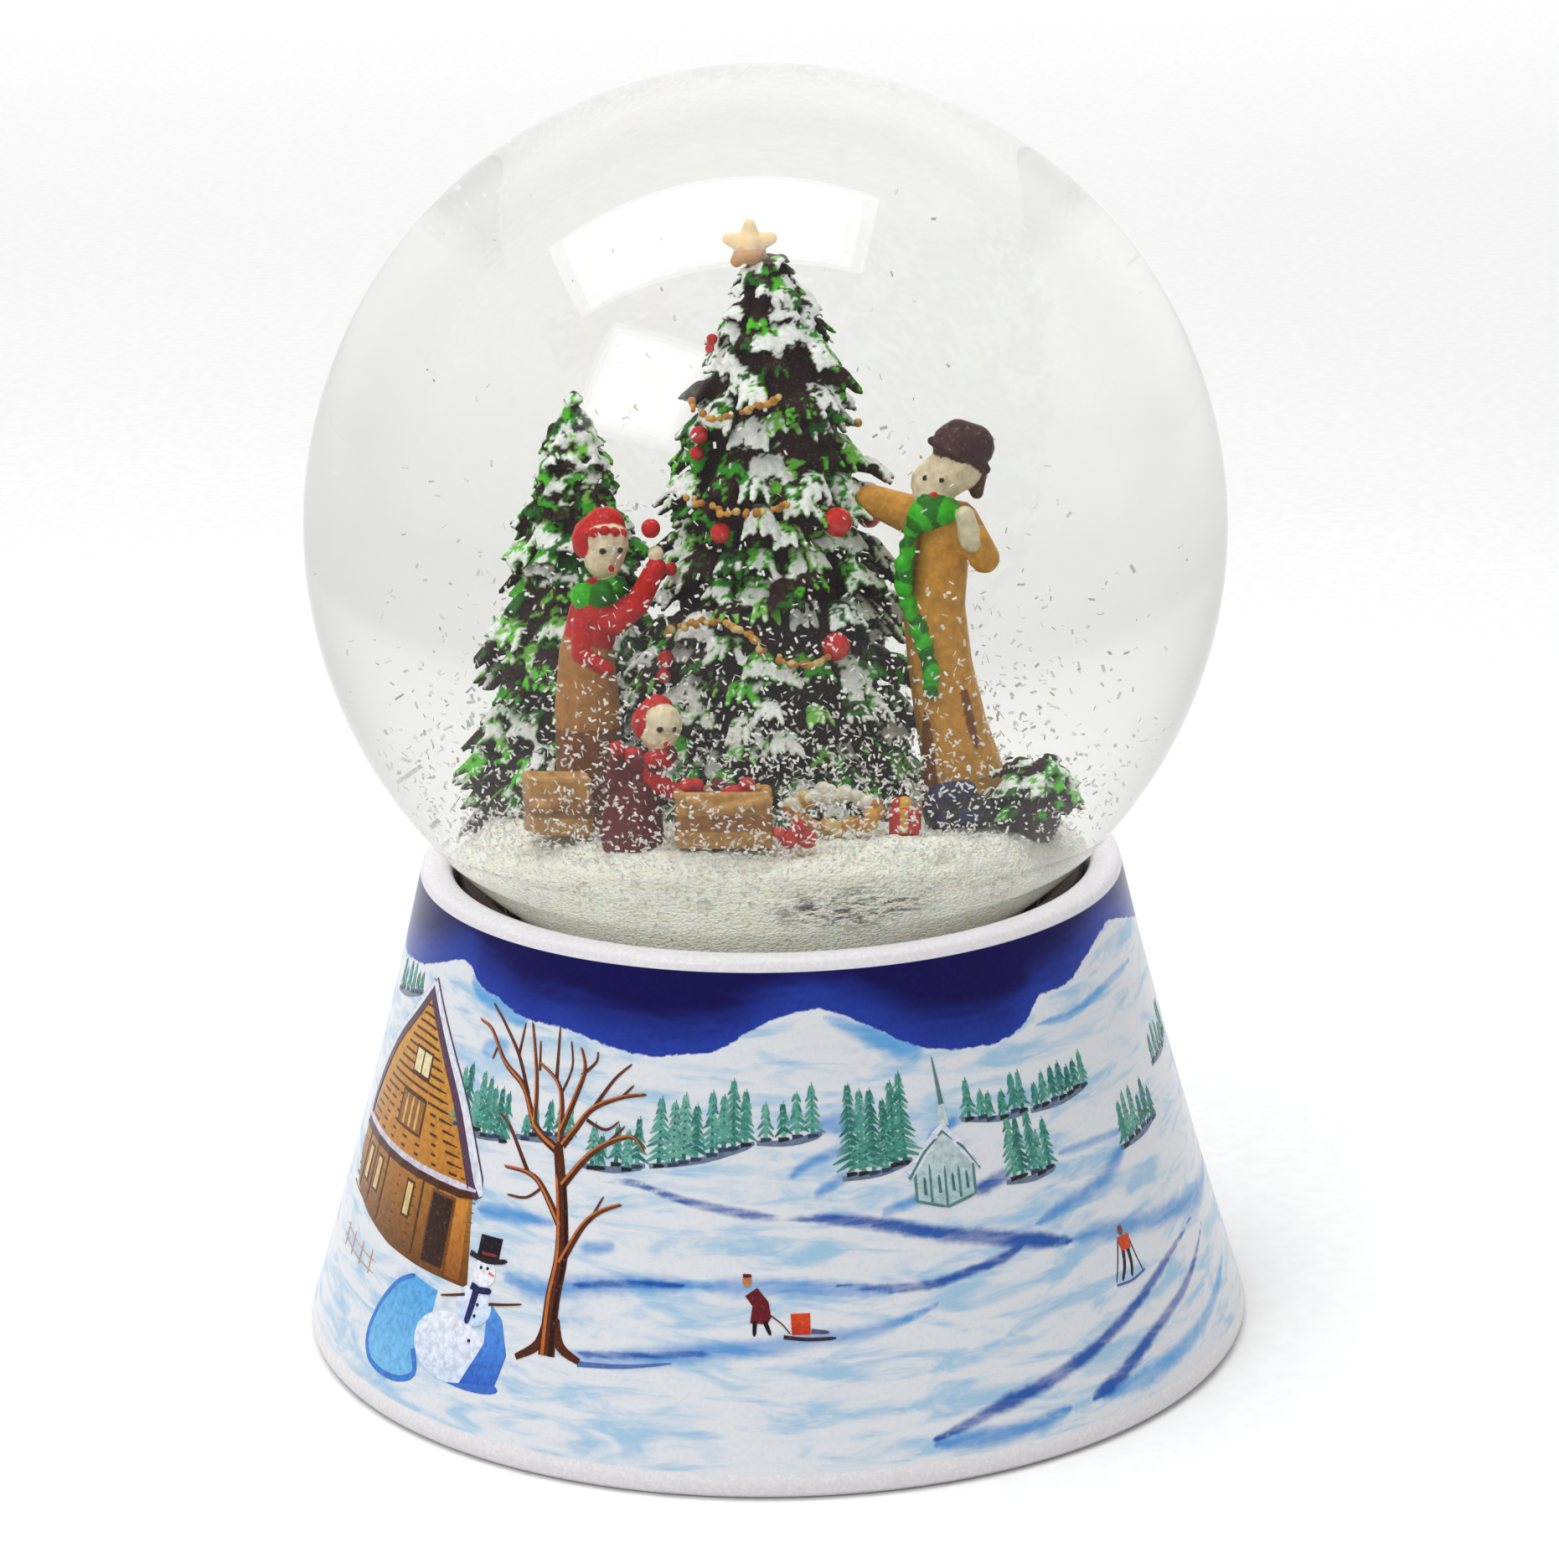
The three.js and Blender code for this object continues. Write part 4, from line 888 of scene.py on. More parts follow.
def print_firs(material):
    """Small teal firs in rows, brushed as drooping strokes with dark feet."""
    art = Print("print_firs", 8)
    rng = random.Random(21)
    for start, end, count, tall in FIR_ROWS:
        middle = ((start[0] + end[0]) / 2, (start[1] + end[1]) / 2 - 0.5)
        ground = [(start[0] - 0.6, start[1] - 0.2), middle, end]
        art.line(ground, 0.5, 0.8, srgb(112, 128, 150), 0)
        for i in range(count):
            share = (i + rng.uniform(0.3, 0.7)) / count
            azimuth = start[0] + (end[0] - start[0]) * share
            foot = start[1] + (end[1] - start[1]) * share + rng.uniform(-0.3, 0.3)
            height = tall * rng.choice([0.72, 0.85, 1.0, 1.08])
            tone = rng.choice(TEALS)
            art.line([(azimuth, foot), (azimuth + 0.1, foot + height)], 0.5, 0.12, rng.choice(TEALS), 1)
            tiers = int(height / 0.75)
            for tier in range(tiers):
                z = foot + 0.5 + (height - 0.7) * tier / tiers
                reach = (0.3 + 0.21 * height * (1 - tier / tiers)) * rng.uniform(0.7, 1.15) / PER_DEGREE
                for way in (-1, 1):
                    tip = (azimuth + way * reach, z - rng.uniform(0.1, 0.5))
                    art.line([(azimuth, z + 0.5), tip], 0.5, 0.22, tone, 2, rng.choice(TEALS), 2)
            dab = [(azimuth - 0.7, foot - 0.2), (azimuth + 0.8, foot - 0.1)]
            art.line(dab, 0.45, 0.3, rng.choice([FOOT_DAB, srgb(60, 70, 96)]), 3)
    art.finish(material)


def print_chapel(material):
    """A pale chapel with a pointed tower among the firs."""
    art = Print("print_chapel", 9)
    line, pale = srgb(96, 136, 132), srgb(196, 210, 212)
    west, middle, east = (18.9, 28.7), (23.1, 27.7), (27.4, 28.5)
    walls = [west, middle, east, (27.6, 31.8), (23.6, 35.6), (19.0, 32)]
    art.area(walls, pale, 4, srgb(170, 194, 198))
    corners = [[west, (19.0, 32)], [middle, (23.3, 31.8)], [east, (27.6, 31.8)]]
    boards = [[west, middle], [middle, east], [(25.2, 28.4), (25.3, 31.6)], [(21, 28.4), (21.1, 32.2)]]
    for edge in corners + boards:
        art.line(edge, 0.3, 0.3, line, 5)
    art.line([(18.3, 31.4), (23.5, 35.9)], 0.9, 0.8, SNOW_INK, 7)
    art.line([(23.5, 35.9), (28.5, 31.2)], 0.8, 0.9, SNOW_INK, 7)
    art.line([(18.1, 31.0), (23.5, 35.3), (28.6, 30.9)], 0.3, 0.3, line, 8, None, 2)
    art.area([(23.0, 35.8), (24.7, 35.8), (24.3, 38), (23.4, 38)], pale, 6)
    art.line([(23.9, 38), (23.6, 40.4), (23.2, 42.9)], 0.6, 0.12, line, 6)
    for azimuth in (20.2, 22.3, 24.3, 26.4):
        art.line([(azimuth, 29.2), (azimuth, 31)], 0.35, 0.3, srgb(78, 118, 124), 6)
    art.finish(material)


def print_walkers(material):
    """One figure pulling a sledge and another on skis, each a few strokes high."""
    art = Print("print_walkers", 10)
    maroon, orange = srgb(110, 34, 40), srgb(214, 84, 40)
    coat = [(-4.1, 20.4), (-2.6, 21.2), (-1.2, 19.8), (-0.9, 18.3), (-1.4, 17.6), (-3.5, 17.7)]
    art.area([*coat, (-3.2, 19.4)], maroon, 2)
    for leg in ([(-2.9, 17.9), (-3.0, 16.4)], [(-1.7, 17.9), (-1.0, 16.5)]):
        art.line(leg, 0.5, 0.35, srgb(40, 28, 36), 2)
    art.blob(-3.9, 21.9, 0.5, 0.6, srgb(190, 130, 90), 3)
    art.line([(-4.4, 22.4), (-3.3, 22.4)], 0.35, 0.3, maroon, 4)
    art.line([(-1.2, 18.6), (0.4, 17.6), (1.4, 16.6)], 0.12, 0.12, WARM_BARK, 2)
    art.line([(0.6, 16.3), (3.6, 16.0), (7.0, 16.0)], 0.4, 0.3, srgb(70, 50, 60), 2)
    art.area([(1.6, 16.5), (3.9, 16.5), (3.9, 18.6), (1.5, 18.6)], orange, 3, srgb(190, 60, 36))
    art.line([(4.0, 16.8), (6.2, 16.6)], 0.5, 0.3, srgb(100, 90, 120), 2)
    art.blob(50.5, 20.1, 0.4, 0.5, srgb(140, 80, 60), 3)
    art.area([(49.5, 19.5), (52, 19.4), (51.8, 17.9), (49.9, 18)], orange, 3)
    for leg in ([(50.2, 18), (49.8, 16.4), (48.8, 15.1)], [(51.2, 18), (51.3, 16.4), (50.8, 15.1)]):
        art.line(leg, 0.5, 0.3, srgb(50, 40, 60), 2)
    for pole in ([(51.8, 19.2), (52.5, 17), (53.4, 14.9)], [(49.6, 19.2), (48.6, 17), (47.6, 15.2)]):
        art.line(pole, 0.15, 0.12, srgb(90, 70, 80), 2)
    art.line([(47.6, 14.9), (50.6, 14.7), (53.8, 15.1)], 0.25, 0.2, srgb(90, 110, 170), 2)
    art.finish(material)


# ---------- the scene in the globe ----------
BARK = srgb(52, 24, 20)
GREENS = [srgb(58, 170, 26), srgb(96, 204, 46), srgb(36, 112, 28), srgb(132, 212, 82)]
SNOW = srgb(248, 252, 248)


def outline(profile, z):
    """Radius of a (radius, height) profile at a height."""
    radii = [r for r, _ in profile]
    levels = [h for _, h in profile]
    return float(np.interp(z, levels, radii))


def conifer(name, x, y, profile, seed, cad_node, size=1.0):
    """A cast fir: rings of drooping leafy tufts on a dark core, snow brushed on the raised leaves."""
    rng = random.Random(seed)
    bottom, top = profile[0][1], profile[-1][1]
    core = []
    for z in np.arange(bottom, top - 4, 2.0):
        thin = min(1.0, 0.3 + (top - z) / 14)
        r0, r1 = outline(profile, z) * 0.74 * thin, outline(profile, z + 2) * 0.68 * thin
        core.append(((x, y, z), (x, y, z + 2), r0, r1))
    leaves, marks = [], []
    z = bottom + 1.2
    while z < top - 0.4:
        reach = outline(profile, z)
        tuft = size * min(1.0, max(0.36, reach / 7))
        count = max(4, int(2 * math.pi * reach / (3.7 * tuft)))
        start = rng.uniform(0, 6.28)
        for i in range(count):
            around = start + 2 * math.pi * (i + rng.uniform(-0.3, 0.3)) / count
            out = reach * rng.uniform(0.84, 1.08)
            place = (x, y, z + rng.uniform(-1.0, 1.0) * tuft)
            add_tuft(place, around, out, tuft, rng, leaves, marks)
        z += 2.7 * tuft * rng.uniform(0.85, 1.1)
    skin = fuse(name, [limb_mesh(*c) for c in core] + [limb_mesh(*leaf, 8) for leaf in leaves], 0.26, 1)
    finish = painted("fir_paint_" + name, (0.5, 0.7), 2.2, 0.1, 0.25, Specular_IOR_Level=0.2)
    piece = finish_skin(skin, finish, fir_paint(skin, x, y, marks))
    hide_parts(cad_node)


def add_tuft(root_place, around, reach, size, rng, leaves, marks):
    """One hand-shaped tuft. Marks keep points along each leaf: place, share of its length, snow, green."""
    out = np.array([math.cos(around), math.sin(around), 0.0])
    side = np.array([-out[1], out[0], 0.0])
    up = np.array([0, 0, 1.0])
    root = np.array(root_place) + out * (reach - 3.2 * size) + up * 1.3 * size
    snow = rng.choice([0.0, 0.0, 0.4, 0.6, 0.85, 0.95, 1.05, 1.1])
    snow *= 1.12 if root[2] > 92 else 1.0
    green = rng.choice(GREENS)
    droop = rng.uniform(0.7, 2.2)
    for k in rng.choice([(-1.3, -0.45, 0.4, 1.3), (-1.1, 0, 1.1), (-1.6, -0.8, 0, 0.8, 1.6)]):
        long = rng.uniform(2.7, 3.7) * (1 - 0.12 * abs(k))
        end = root + (out * long + side * k * 1.05 - up * (droop + 0.3 * abs(k))) * size
        middle = root + (end - root) * 0.55 + up * 0.55 * size
        wide = rng.uniform(0.46, 0.66) * size
        leaves.append((root + side * k * 0.2 * size, middle, 0.55 * size, wide))
        leaves.append((middle, end, wide, 0.3 * size))
        for share in (0.1, 0.35, 0.55, 0.8, 1.0):
            spot = root + (middle - root) * share / 0.55
            if share >= 0.55:
                spot = middle + (end - middle) * (share - 0.55) / 0.45
            marks.append((spot, share, snow, green))


def fir_paint(skin, x, y, marks):
    """Dark in the gaps, green on the leaves, white where the snow brush dragged over the raised tips."""
    points, normals = vertex_values(skin, "co"), vertex_values(skin, "normal")
    tree = KDTree(len(marks))
    for i, mark in enumerate(marks):
        tree.insert(mark[0], i)
    tree.balance()
    streaks = value_noise(points * (1, 1, 0.5), 1.3, 5) * 0.6 + value_noise(points, 0.6, 6) * 0.4
    outward = points - (x, y, 0)
    outward[:, 2] = 0
    outward /= np.linalg.norm(outward, axis=1, keepdims=True)
    facing = (normals * outward).sum(1) * 0.45 + normals[:, 2] * 0.7
    paint = np.empty((len(points), 3))
    for i, point in enumerate(points):
        _, index, distance = tree.find(point)
        _, share, snow, green = marks[index]
        lit = 0.5 * share + 0.5 * facing[i] + 0.3 * streaks[i] - 0.35 * max(0, distance - 0.5)
        if lit < 0.54 or snow == 0 and lit < 0.78:
            paint[i] = BARK
        elif lit < 1.12 - 0.48 * snow:
            paint[i] = green
        else:
            paint[i] = SNOW
    return paint


# Outline of each fir: (radius, height) from the ground up.
LARGE_TREE = [
    (12.2, 66), (12.4, 69), (11.6, 74), (11.9, 76.5), (10.2, 82), (10.6, 85), (8.7, 90), (9.3, 93),
    (7.4, 97), (7.8, 100), (6.1, 104), (5.2, 107), (3.1, 110.5), (1.4, 113),
]
SMALL_TREE = [
    (8.2, 66), (8.6, 70), (7.0, 76), (7.4, 79), (5.2, 85), (5.6, 87), (3.4, 92), (3.2, 94), (1.2, 98),
    (0.5, 100),
]


def add_star():
    """Five blunt puffy points: plain gilt below, with pale gold on the upper points and the upper front of
    the middle as a painted highlight.
    """
    cx, cz, y = -0.95, 114.1, 2.0
    # gold is the plain gilt; pale is a lighter gold laid on as a painted highlight
    gold, pale = srgb(206, 142, 44), srgb(228, 190, 112)
    parts = []
    for i in range(5):
        a = math.pi / 2 + i * 2 * math.pi / 5
        tip = (cx + 1.85 * math.cos(a), y, cz + 1.75 * math.sin(a))
        # points that face up get the painted highlight, the lower points stay plain gilt
        parts.append(((cx, y, cz), tip, 1.1, 0.58, pale if math.sin(a) > 0 else gold))
    # the middle: its lower ball plain gilt, its upper front ball the painted highlight
    parts.append(((cx, y - 0.3, cz - 0.5), (cx, y + 0.3, cz - 0.5), 1.2, 1.2, gold))
    parts.append(((cx, y - 0.5, cz + 0.4), (cx, y + 0.3, cz + 0.4), 0.9, 0.9, pale))
    piece = sculpt("tree_star_cast", parts, painted("gilt_paint", (0.2, 0.34), 1.2, 0.05, 0.2), 0.15)
    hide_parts("tree_star")


# Paints of the figures, boxes and gifts.
SKIN = srgb(240, 224, 190)
RED = srgb(204, 22, 16)
COAT = srgb(222, 162, 62)
# deeper brown: painted shade in the folds down the man's coat front, and the darker foot of the woman's
# skirt
COAT_DARK = srgb(136, 80, 30)
GREEN_WOOL = srgb(64, 196, 22)
GREEN_SHADE = srgb(34, 128, 18)
HAT = srgb(78, 46, 46)
EYE = srgb(36, 24, 22)
CREAM = srgb(236, 226, 192)
MAROON = srgb(112, 22, 30)
SKIRT = srgb(186, 132, 66)
NAVY = srgb(24, 24, 84)
CARD = srgb(206, 154, 76)
CARD_DARK = srgb(170, 114, 46)
GILT = [srgb(214, 158, 62), srgb(192, 128, 38), srgb(230, 200, 130)]


def figure_finish(name):
    """Paint of the figures, a little glossier than the trees."""
    return painted(name, (0.34, 0.55), 1.3, 0.05, 0.3, Specular_IOR_Level=0.3)


def lumpy(points, radius, colours, seed, spread=0.25):
    """A knitted strand: small lumps of changing size along a curve."""
    rng = random.Random(seed)
    lumps = []
    for spot in smooth_line(points, 6):
        place = tuple(c + rng.uniform(-spread, spread) for c in spot)
        lumps.append(ball(place, radius * rng.uniform(0.75, 1.25), rng.choice(colours)))
    return lumps


def face_parts(centre, facing, apart, drop):
    """Two dot eyes and a small red mouth of a painted doll's face, set on the front of the head."""
    facing = unit(np.array(facing, float))
    side = unit(np.cross(facing, [0, 0, 1.0]))
    centre = np.array(centre, float)
    dots = [(centre + side * apart * s, 0.26, EYE) for s in (-1, 1)]
    dots.append((centre - np.array([0, 0, drop * 0.75]), 0.28, RED))
    return [ball(tuple(place), radius, colour) for place, radius, colour in dots]


def add_man():
    """Man in a long coat, hat and green scarf, one arm reaching for the tree."""
    y = -1.2
    coat = [(16.0, y, 66.8), (15.8, y, 69.6), (14.8, y, 74), (14.0, y, 79), (13.6, y, 84), (14.6, y, 90.4)]
    parts = chain(coat, [3.5, 3.3, 2.9, 2.65, 2.6, 2.3], COAT)
    # painted shade: darker brown strips in the folds down both sides of the coat front
    parts += [((13.2, y - 1.9, 67.4), (13.4, y - 1.5, 78), 0.9, 0.8, COAT_DARK)]
    parts += [((17.6, y - 2.0, 67), (15.9, y - 1.9, 77), 0.8, 0.5, COAT_DARK)]
    parts += chain([(15, y, 90.6), (12.2, y + 0.4, 91.4), (8.6, y + 0.4, 92.9)], [1.8, 1.7, 1.25], COAT)
    elbow = [(15.9, y - 0.6, 91.2), (18.0, y - 1.4, 88.2), (17.5, y - 2.2, 90.2)]
    parts += chain(elbow, [1.7, 1.3, 1.0], COAT)
    parts += chain([(17.0, y - 2.6, 90.0), (16.6, y - 2.8, 92.2)], [1.0, 0.8], CREAM)
    parts += chain([(13.9, y - 0.5, 94.4), (15.9, y - 0.3, 95.8)], [1.95, 2.15], SKIN)
    parts += [((13.4, y - 1.0, 93.6), (13.6, y - 1.0, 93.7), 1.3, 1.3, SKIN)]
    for side in ((16.0, y - 2.2, 97.2), (16.2, y + 1.4, 97.6)):
        brim = [(13.9, y - 1.3, 98.2), side, (18.3, y - 0.9, 95.6)]
        parts += chain(brim, [0.4, 0.5, 0.45], HAT)
    parts += [((15.7, y - 0.3, 97.6), (17.2, y - 0.2, 97.4), 1.9, 1.9, HAT)]
    parts += [((16.0, y - 0.3, 98.6), (17.6, y - 0.2, 97.9), 1.2, 1.3, HAT)]
    parts += [((17.2, y + 0.4, 95.0), (17.4, y + 0.2, 93.4), 1.2, 0.6, srgb(90, 54, 28))]
    knot = [(15.4, y - 1.8, 92.3), (13.8, y - 2.2, 92.4), (12.4, y - 2.2, 91.6)]
    fall = [(12.4, y - 2.3, 91.4), (11.6, y - 2.4, 89), (11.4, y - 2.5, 86.6), (11.7, y - 2.6, 84.4),
            (12.6, y - 2.9, 82), (13.4, y - 3.0, 79.6), (13.5, y - 3.0, 77.2)]
    wool = [GREEN_WOOL, GREEN_WOOL, GREEN_SHADE]
    parts += lumpy(knot, 1.0, wool, 1)
    parts += lumpy([(14.2, y - 2.0, 93), (12.9, y - 2.2, 91.6)], 1.1, wool, 2)
    parts += lumpy(fall, 0.62, wool, 3)
    parts += face_parts((14.0, y - 2.45, 95.2), (-0.45, -0.8, 0.0), 0.8, 1.8)
    piece = sculpt("man_figure_cast", parts, figure_finish("coat_paint"), 0.16, 1)
    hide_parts("man_figure")


def add_woman():
    """Woman in a red top, red bonnet and long skirt, one arm raised to the tree."""
    y = -4.4
    skirt = [(-14.6, y, 66.8), (-14.7, y, 69.6), (-14.9, y, 76), (-15.0, y, 81.4)]
    parts = chain(skirt[:3], [3.0, 2.9, 2.8], COAT_DARK)
    parts += chain(skirt[1:], [2.6, 2.86, 2.3], SKIRT)
    parts += chain([(-14.7, y, 82.4), (-14.4, y, 84.4), (-14.0, y, 86)], [2.2, 2.1, 1.6], RED)
    arm = [(-14.6, y - 1.0, 84.6), (-12.6, y - 1.7, 84.0), (-10.8, y - 1.9, 85.6), (-9.2, y - 1.8, 88.6)]
    parts += chain(arm, [1.3, 1.15, 1.05, 0.9], RED)
    other_arm = [(-15.2, y - 1.2, 84.4), (-15.6, y - 1.9, 81.4), (-13.4, y - 2.4, 80.2)]
    parts += chain(other_arm, [1.0, 0.8, 0.6], RED)
    parts += [ball((-9.6, y - 1.4, 91.9), 0.85, RED), ball((-9.2, y - 1.6, 89.8), 0.7, SKIN)]
    scarf = [(-15.2, y - 0.8, 86.2), (-13.6, y - 1.4, 86.2), (-12.4, y - 0.9, 86.9)]
    parts += lumpy(scarf, 0.95, [GREEN_WOOL, GREEN_SHADE], 4)
    parts += [((-13.5, y - 0.3, 89.2), (-13.3, y - 0.3, 90.6), 1.75, 2.0, SKIN)]
    parts += [((-14.1, y + 0.45, 90.6), (-13.4, y + 0.4, 91.6), 2.1, 1.85, RED)]
    for turn in (-0.9, -0.45, 0.0, 0.45, 0.9):
        scallop = (-13.5 + 1.95 * math.sin(turn), y - 1.85 * math.cos(turn), 91.9 - 0.5 * abs(turn))
        parts.append(ball(scallop, 0.45, RED))
    parts += face_parts((-12.95, y - 2.15, 90.2), (0.2, -0.95, 0.0), 0.78, 2.1)
    piece = sculpt("woman_figure_cast", parts, figure_finish("red_paint"), 0.15, 1)
    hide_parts("woman_figure")


def add_child():
    """Child in maroon and red, between the two boxes."""
    y = -15.5
    parts = chain([(-12.1, y, 66.6), (-11.9, y, 69.5), (-10.9, y, 73)], [3.0, 2.5, 1.6], MAROON)
    raised_arm = [(-11.6, y - 0.6, 73), (-13.6, y - 0.9, 71.6), (-13.3, y - 1.4, 74.0)]
    parts += chain(raised_arm, [1.05, 0.85, 0.7], MAROON)
    parts += [ball((-13.3, y - 1.5, 74.9), 0.7, RED)]
    collar = [(-12.0, y - 1.0, 73.8), (-10.4, y - 1.6, 73.6), (-9.0, y - 1.2, 74.4)]
    parts += lumpy(collar, 0.85, [RED, MAROON], 5)
    other_arm = [(-10.4, y - 1, 72.2), (-8.4, y - 1.6, 71.0), (-7.0, y - 2.0, 71.2)]
    parts += chain(other_arm, [1.0, 0.8, 0.6], RED)
    parts += [((-9.5, y - 0.5, 76.0), (-9.2, y - 0.5, 77.0), 1.65, 1.8, SKIN)]
    parts += [((-10.1, y + 0.3, 76.9), (-9.6, y + 0.4, 77.9), 1.85, 1.55, RED)]
    parts += face_parts((-8.9, y - 2.1, 76.7), (0.3, -0.95, 0.0), 0.65, 1.9)
    piece = sculpt("child_figure_cast", parts, figure_finish("maroon_paint"), 0.14, 1)
    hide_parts("child_figure")


def block_parts(low, high, r, colour):
    """A soft-cornered block as rows of overlapping limbs."""
    xs, ys, zs = [(a + r, b - r) for a, b in zip(low, high)]
    parts = []
    for z in np.linspace(*zs, max(2, int((zs[1] - zs[0]) / r))):
        for yy in np.linspace(*ys, max(2, int((ys[1] - ys[0]) / r))):
            parts.append(((xs[0], yy, z), (xs[1], yy, z), r, r, colour))
    return parts


def wall_parts(low, high, r, colours):
    """Four upright walls of an open box, in bands of card."""
    west, east, south, north = low[0] + r, high[0] - r, low[1] + r, high[1] - r
    corners = [(west, south), (east, south), (east, north), (west, north)]
    parts = []
    for (ax, ay), (bx, by) in zip(corners, corners[1:] + corners[:1]):
        for i, z in enumerate(np.arange(low[2] + r, high[2] - r + 0.01, r)):
            parts.append(((ax, ay, z), (bx, by, z), r, r, colours[i // 3 % len(colours)]))
    return parts


def card_finish(name):
    """Dull, rough paint of the boxes."""
    return painted(name, (0.45, 0.65), 1.2, 0.1, 0.4)


def add_boxes():
    """The filled box at the left and the open box of ornaments at the front."""
    bands = [CARD, CARD_DARK, CARD]
    left = wall_parts((-21.0, -12.8, 66.2), (-15.2, -7.8, 72), 0.5, bands)
    left += block_parts((-20.6, -12.4, 66.2), (-15.6, -8.2, 71.2), 0.7, srgb(214, 190, 140))
    tape = [(-20.6, -12.6, 68.6), (-18, -13.0, 69.3), (-15.6, -12.6, 68.4)]
    left += lumpy(tape, 0.5, [CARD_DARK, CARD], 6)
    piece = sculpt("left_box_cast", left, card_finish("card_paint_left"), 0.18)
    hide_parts("left_box")
    right = wall_parts((-8.4, -21.8, 66.0), (0.2, -15.8, 71.6), 0.5, bands)
    right += block_parts((-8.0, -21.4, 66.2), (-0.2, -16.2, 69.2), 0.7, srgb(190, 150, 96))
    flap = [(-8.2, -21.7, 71.2), (-5.0, -22.3, 69.7), (-0.2, -22.0, 70.6)]
    right += chain(flap, [0.5, 0.5, 0.5], srgb(206, 156, 84))
    piece = sculpt("ornament_box_cast", right, card_finish("card_paint_right"), 0.18)
    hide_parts("ornament_box")


def ball_cluster(name, places, material, replaces=None):
    """Small balls (place, radius, colour) fused where they touch."""
    piece = sculpt(name, [ball(*place) for place in places], material, 0.14, 1)
    if replaces:
        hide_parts(replaces)


# Balls on the large tree (x, y, height, radius) and lines of gilt beads; on_tree sets each on the leaves.
BAUBLES = [
    (6.0, -10.6, 93.6, 1.3), (5.7, -12.4, 83.4, 1.25), (-3.8, -9.3, 92.4, 0.9), (-5.4, -7.0, 100.3, 0.8),
    (-5.6, -7.2, 98.8, 0.65), (-5.2, -3.0, 107.4, 0.5), (-5.3, -3.1, 106.6, 0.42),
    (-8.4, -10.8, 82.4, 0.75), (-8.6, -11.1, 81.0, 0.65), (8.6, 6.0, 90.0, 1.1), (-4.0, 11.6, 84.0, 1.1),
    (5.5, 12.6, 76.0, 1.1), (0.0, 10.0, 95.0, 1.0), (-11.2, 5.0, 74.0, 1.0), (-9.4, -5.8, 88.6, 0.6),
]
GARLANDS = [
    [(-6.8, -4.6, 102.4), (-4.2, -6.6, 101.6), (-1.0, -7.2, 102.4), (1.2, -6.6, 103.4)],
    [(-6.4, -7.4, 94.9), (-3.6, -9.4, 94.2), (-1.0, -10.2, 94.2), (1.8, -10.0, 94.8)],
    [(-8.4, -8.4, 84.0), (-6.0, -10.4, 85.0), (-3.6, -11.2, 85.2), (-1.6, -11.8, 84.2),
     (-0.4, -12.0, 82.8)],
    [(0.8, -12.2, 82.2), (2.8, -12.4, 81.6), (5.0, -12.0, 82.2)],
    [(3.0, 9.0, 98.0), (6.0, 7.0, 97.2), (8.0, 4.0, 98.2)],
]


def on_tree(x, y, z, out):
    """Slide a point along the line of sight until it touches the large tree."""
    front = -1 if y < 2 else 1
    spot = (x, y, z)
    for _ in range(4):
        reach = outline(LARGE_TREE, spot[2]) + out
        aside = max(-0.86 * reach, min(0.86 * reach, x - 0.5))
        depth = 2.0 + front * math.sqrt(reach**2 - aside**2)
        spot = (0.5 + aside, depth, z - 0.29 * (depth - y))
    return spot


def add_trimmings():
    """Balls in the box and on the tree, berries, garlands, the wreath and the gifts."""
    rng = random.Random(11)
    gloss = painted("ornament_paint", (0.12, 0.22), 0.8, 0.02, 0.2, Coat_Weight=0.4)
    tints = [RED, RED, srgb(240, 226, 210), MAROON]
    in_box = []
    for _ in range(18):
        place = (rng.uniform(-7.4, -1.0), rng.uniform(-20.8, -17), 70.0 + rng.uniform(0, 1.9))
        in_box.append((place, 0.8, rng.choice(tints)))
    ball_cluster("box_ornaments", in_box, gloss)
    berries = [((1.7, -20.8, 66.9), 1.0, RED), ((3.3, -20.5, 66.8), 0.95, RED)]
    berries += [((2.5, -20.9, 68.1), 0.75, RED), ((0.6, -20.9, 67.6), 0.6, srgb(230, 90, 80))]
    ball_cluster("berry_sprig_cast", berries, gloss, "berry_sprig")
    baubles = [(on_tree(x, y, z, 0.2), r, RED) for x, y, z, r in BAUBLES]
    ball_cluster("tree_baubles", baubles, gloss)
    strands = []
    for seed, line in enumerate(GARLANDS, 20):
        strands += lumpy([on_tree(*spot, 0.6) for spot in line], 0.32, GILT, seed, 0.22)
    gilt = painted("garland_paint", (0.25, 0.4), 1.4, 0.03, 0.3)
    piece = sculpt("gold_garlands", strands, gilt, 0.12, 1)
    add_wreath(rng)
    add_floor_gifts()


def add_wreath(rng):
    """Beaded wreath that leans on the foot of the tree, pearls above and gilt below."""
    low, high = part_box("bead_wreath")
    centre = (low + high) / 2 / MM
    beads = []
    for i in range(54):
        a = 2 * math.pi * i / 54
        ring = (3.7 * math.cos(a), 0.5 * math.sin(a) - 0.5, 1.6 * math.sin(a) + 1.3)
        spot = tuple(c + d + rng.uniform(-0.45, 0.45) for c, d in zip(centre, ring))
        pearl = math.sin(a) > 0.3 and rng.random() < 0.75
        radius = rng.uniform(0.5, 0.8)
        beads.append((spot, radius, srgb(238, 234, 216) if pearl else rng.choice(GILT)))
    finish = painted("bead_paint", (0.2, 0.35), 1.2, 0.03, 0.3)
    ball_cluster("bead_wreath_cast", beads, finish, "bead_wreath")


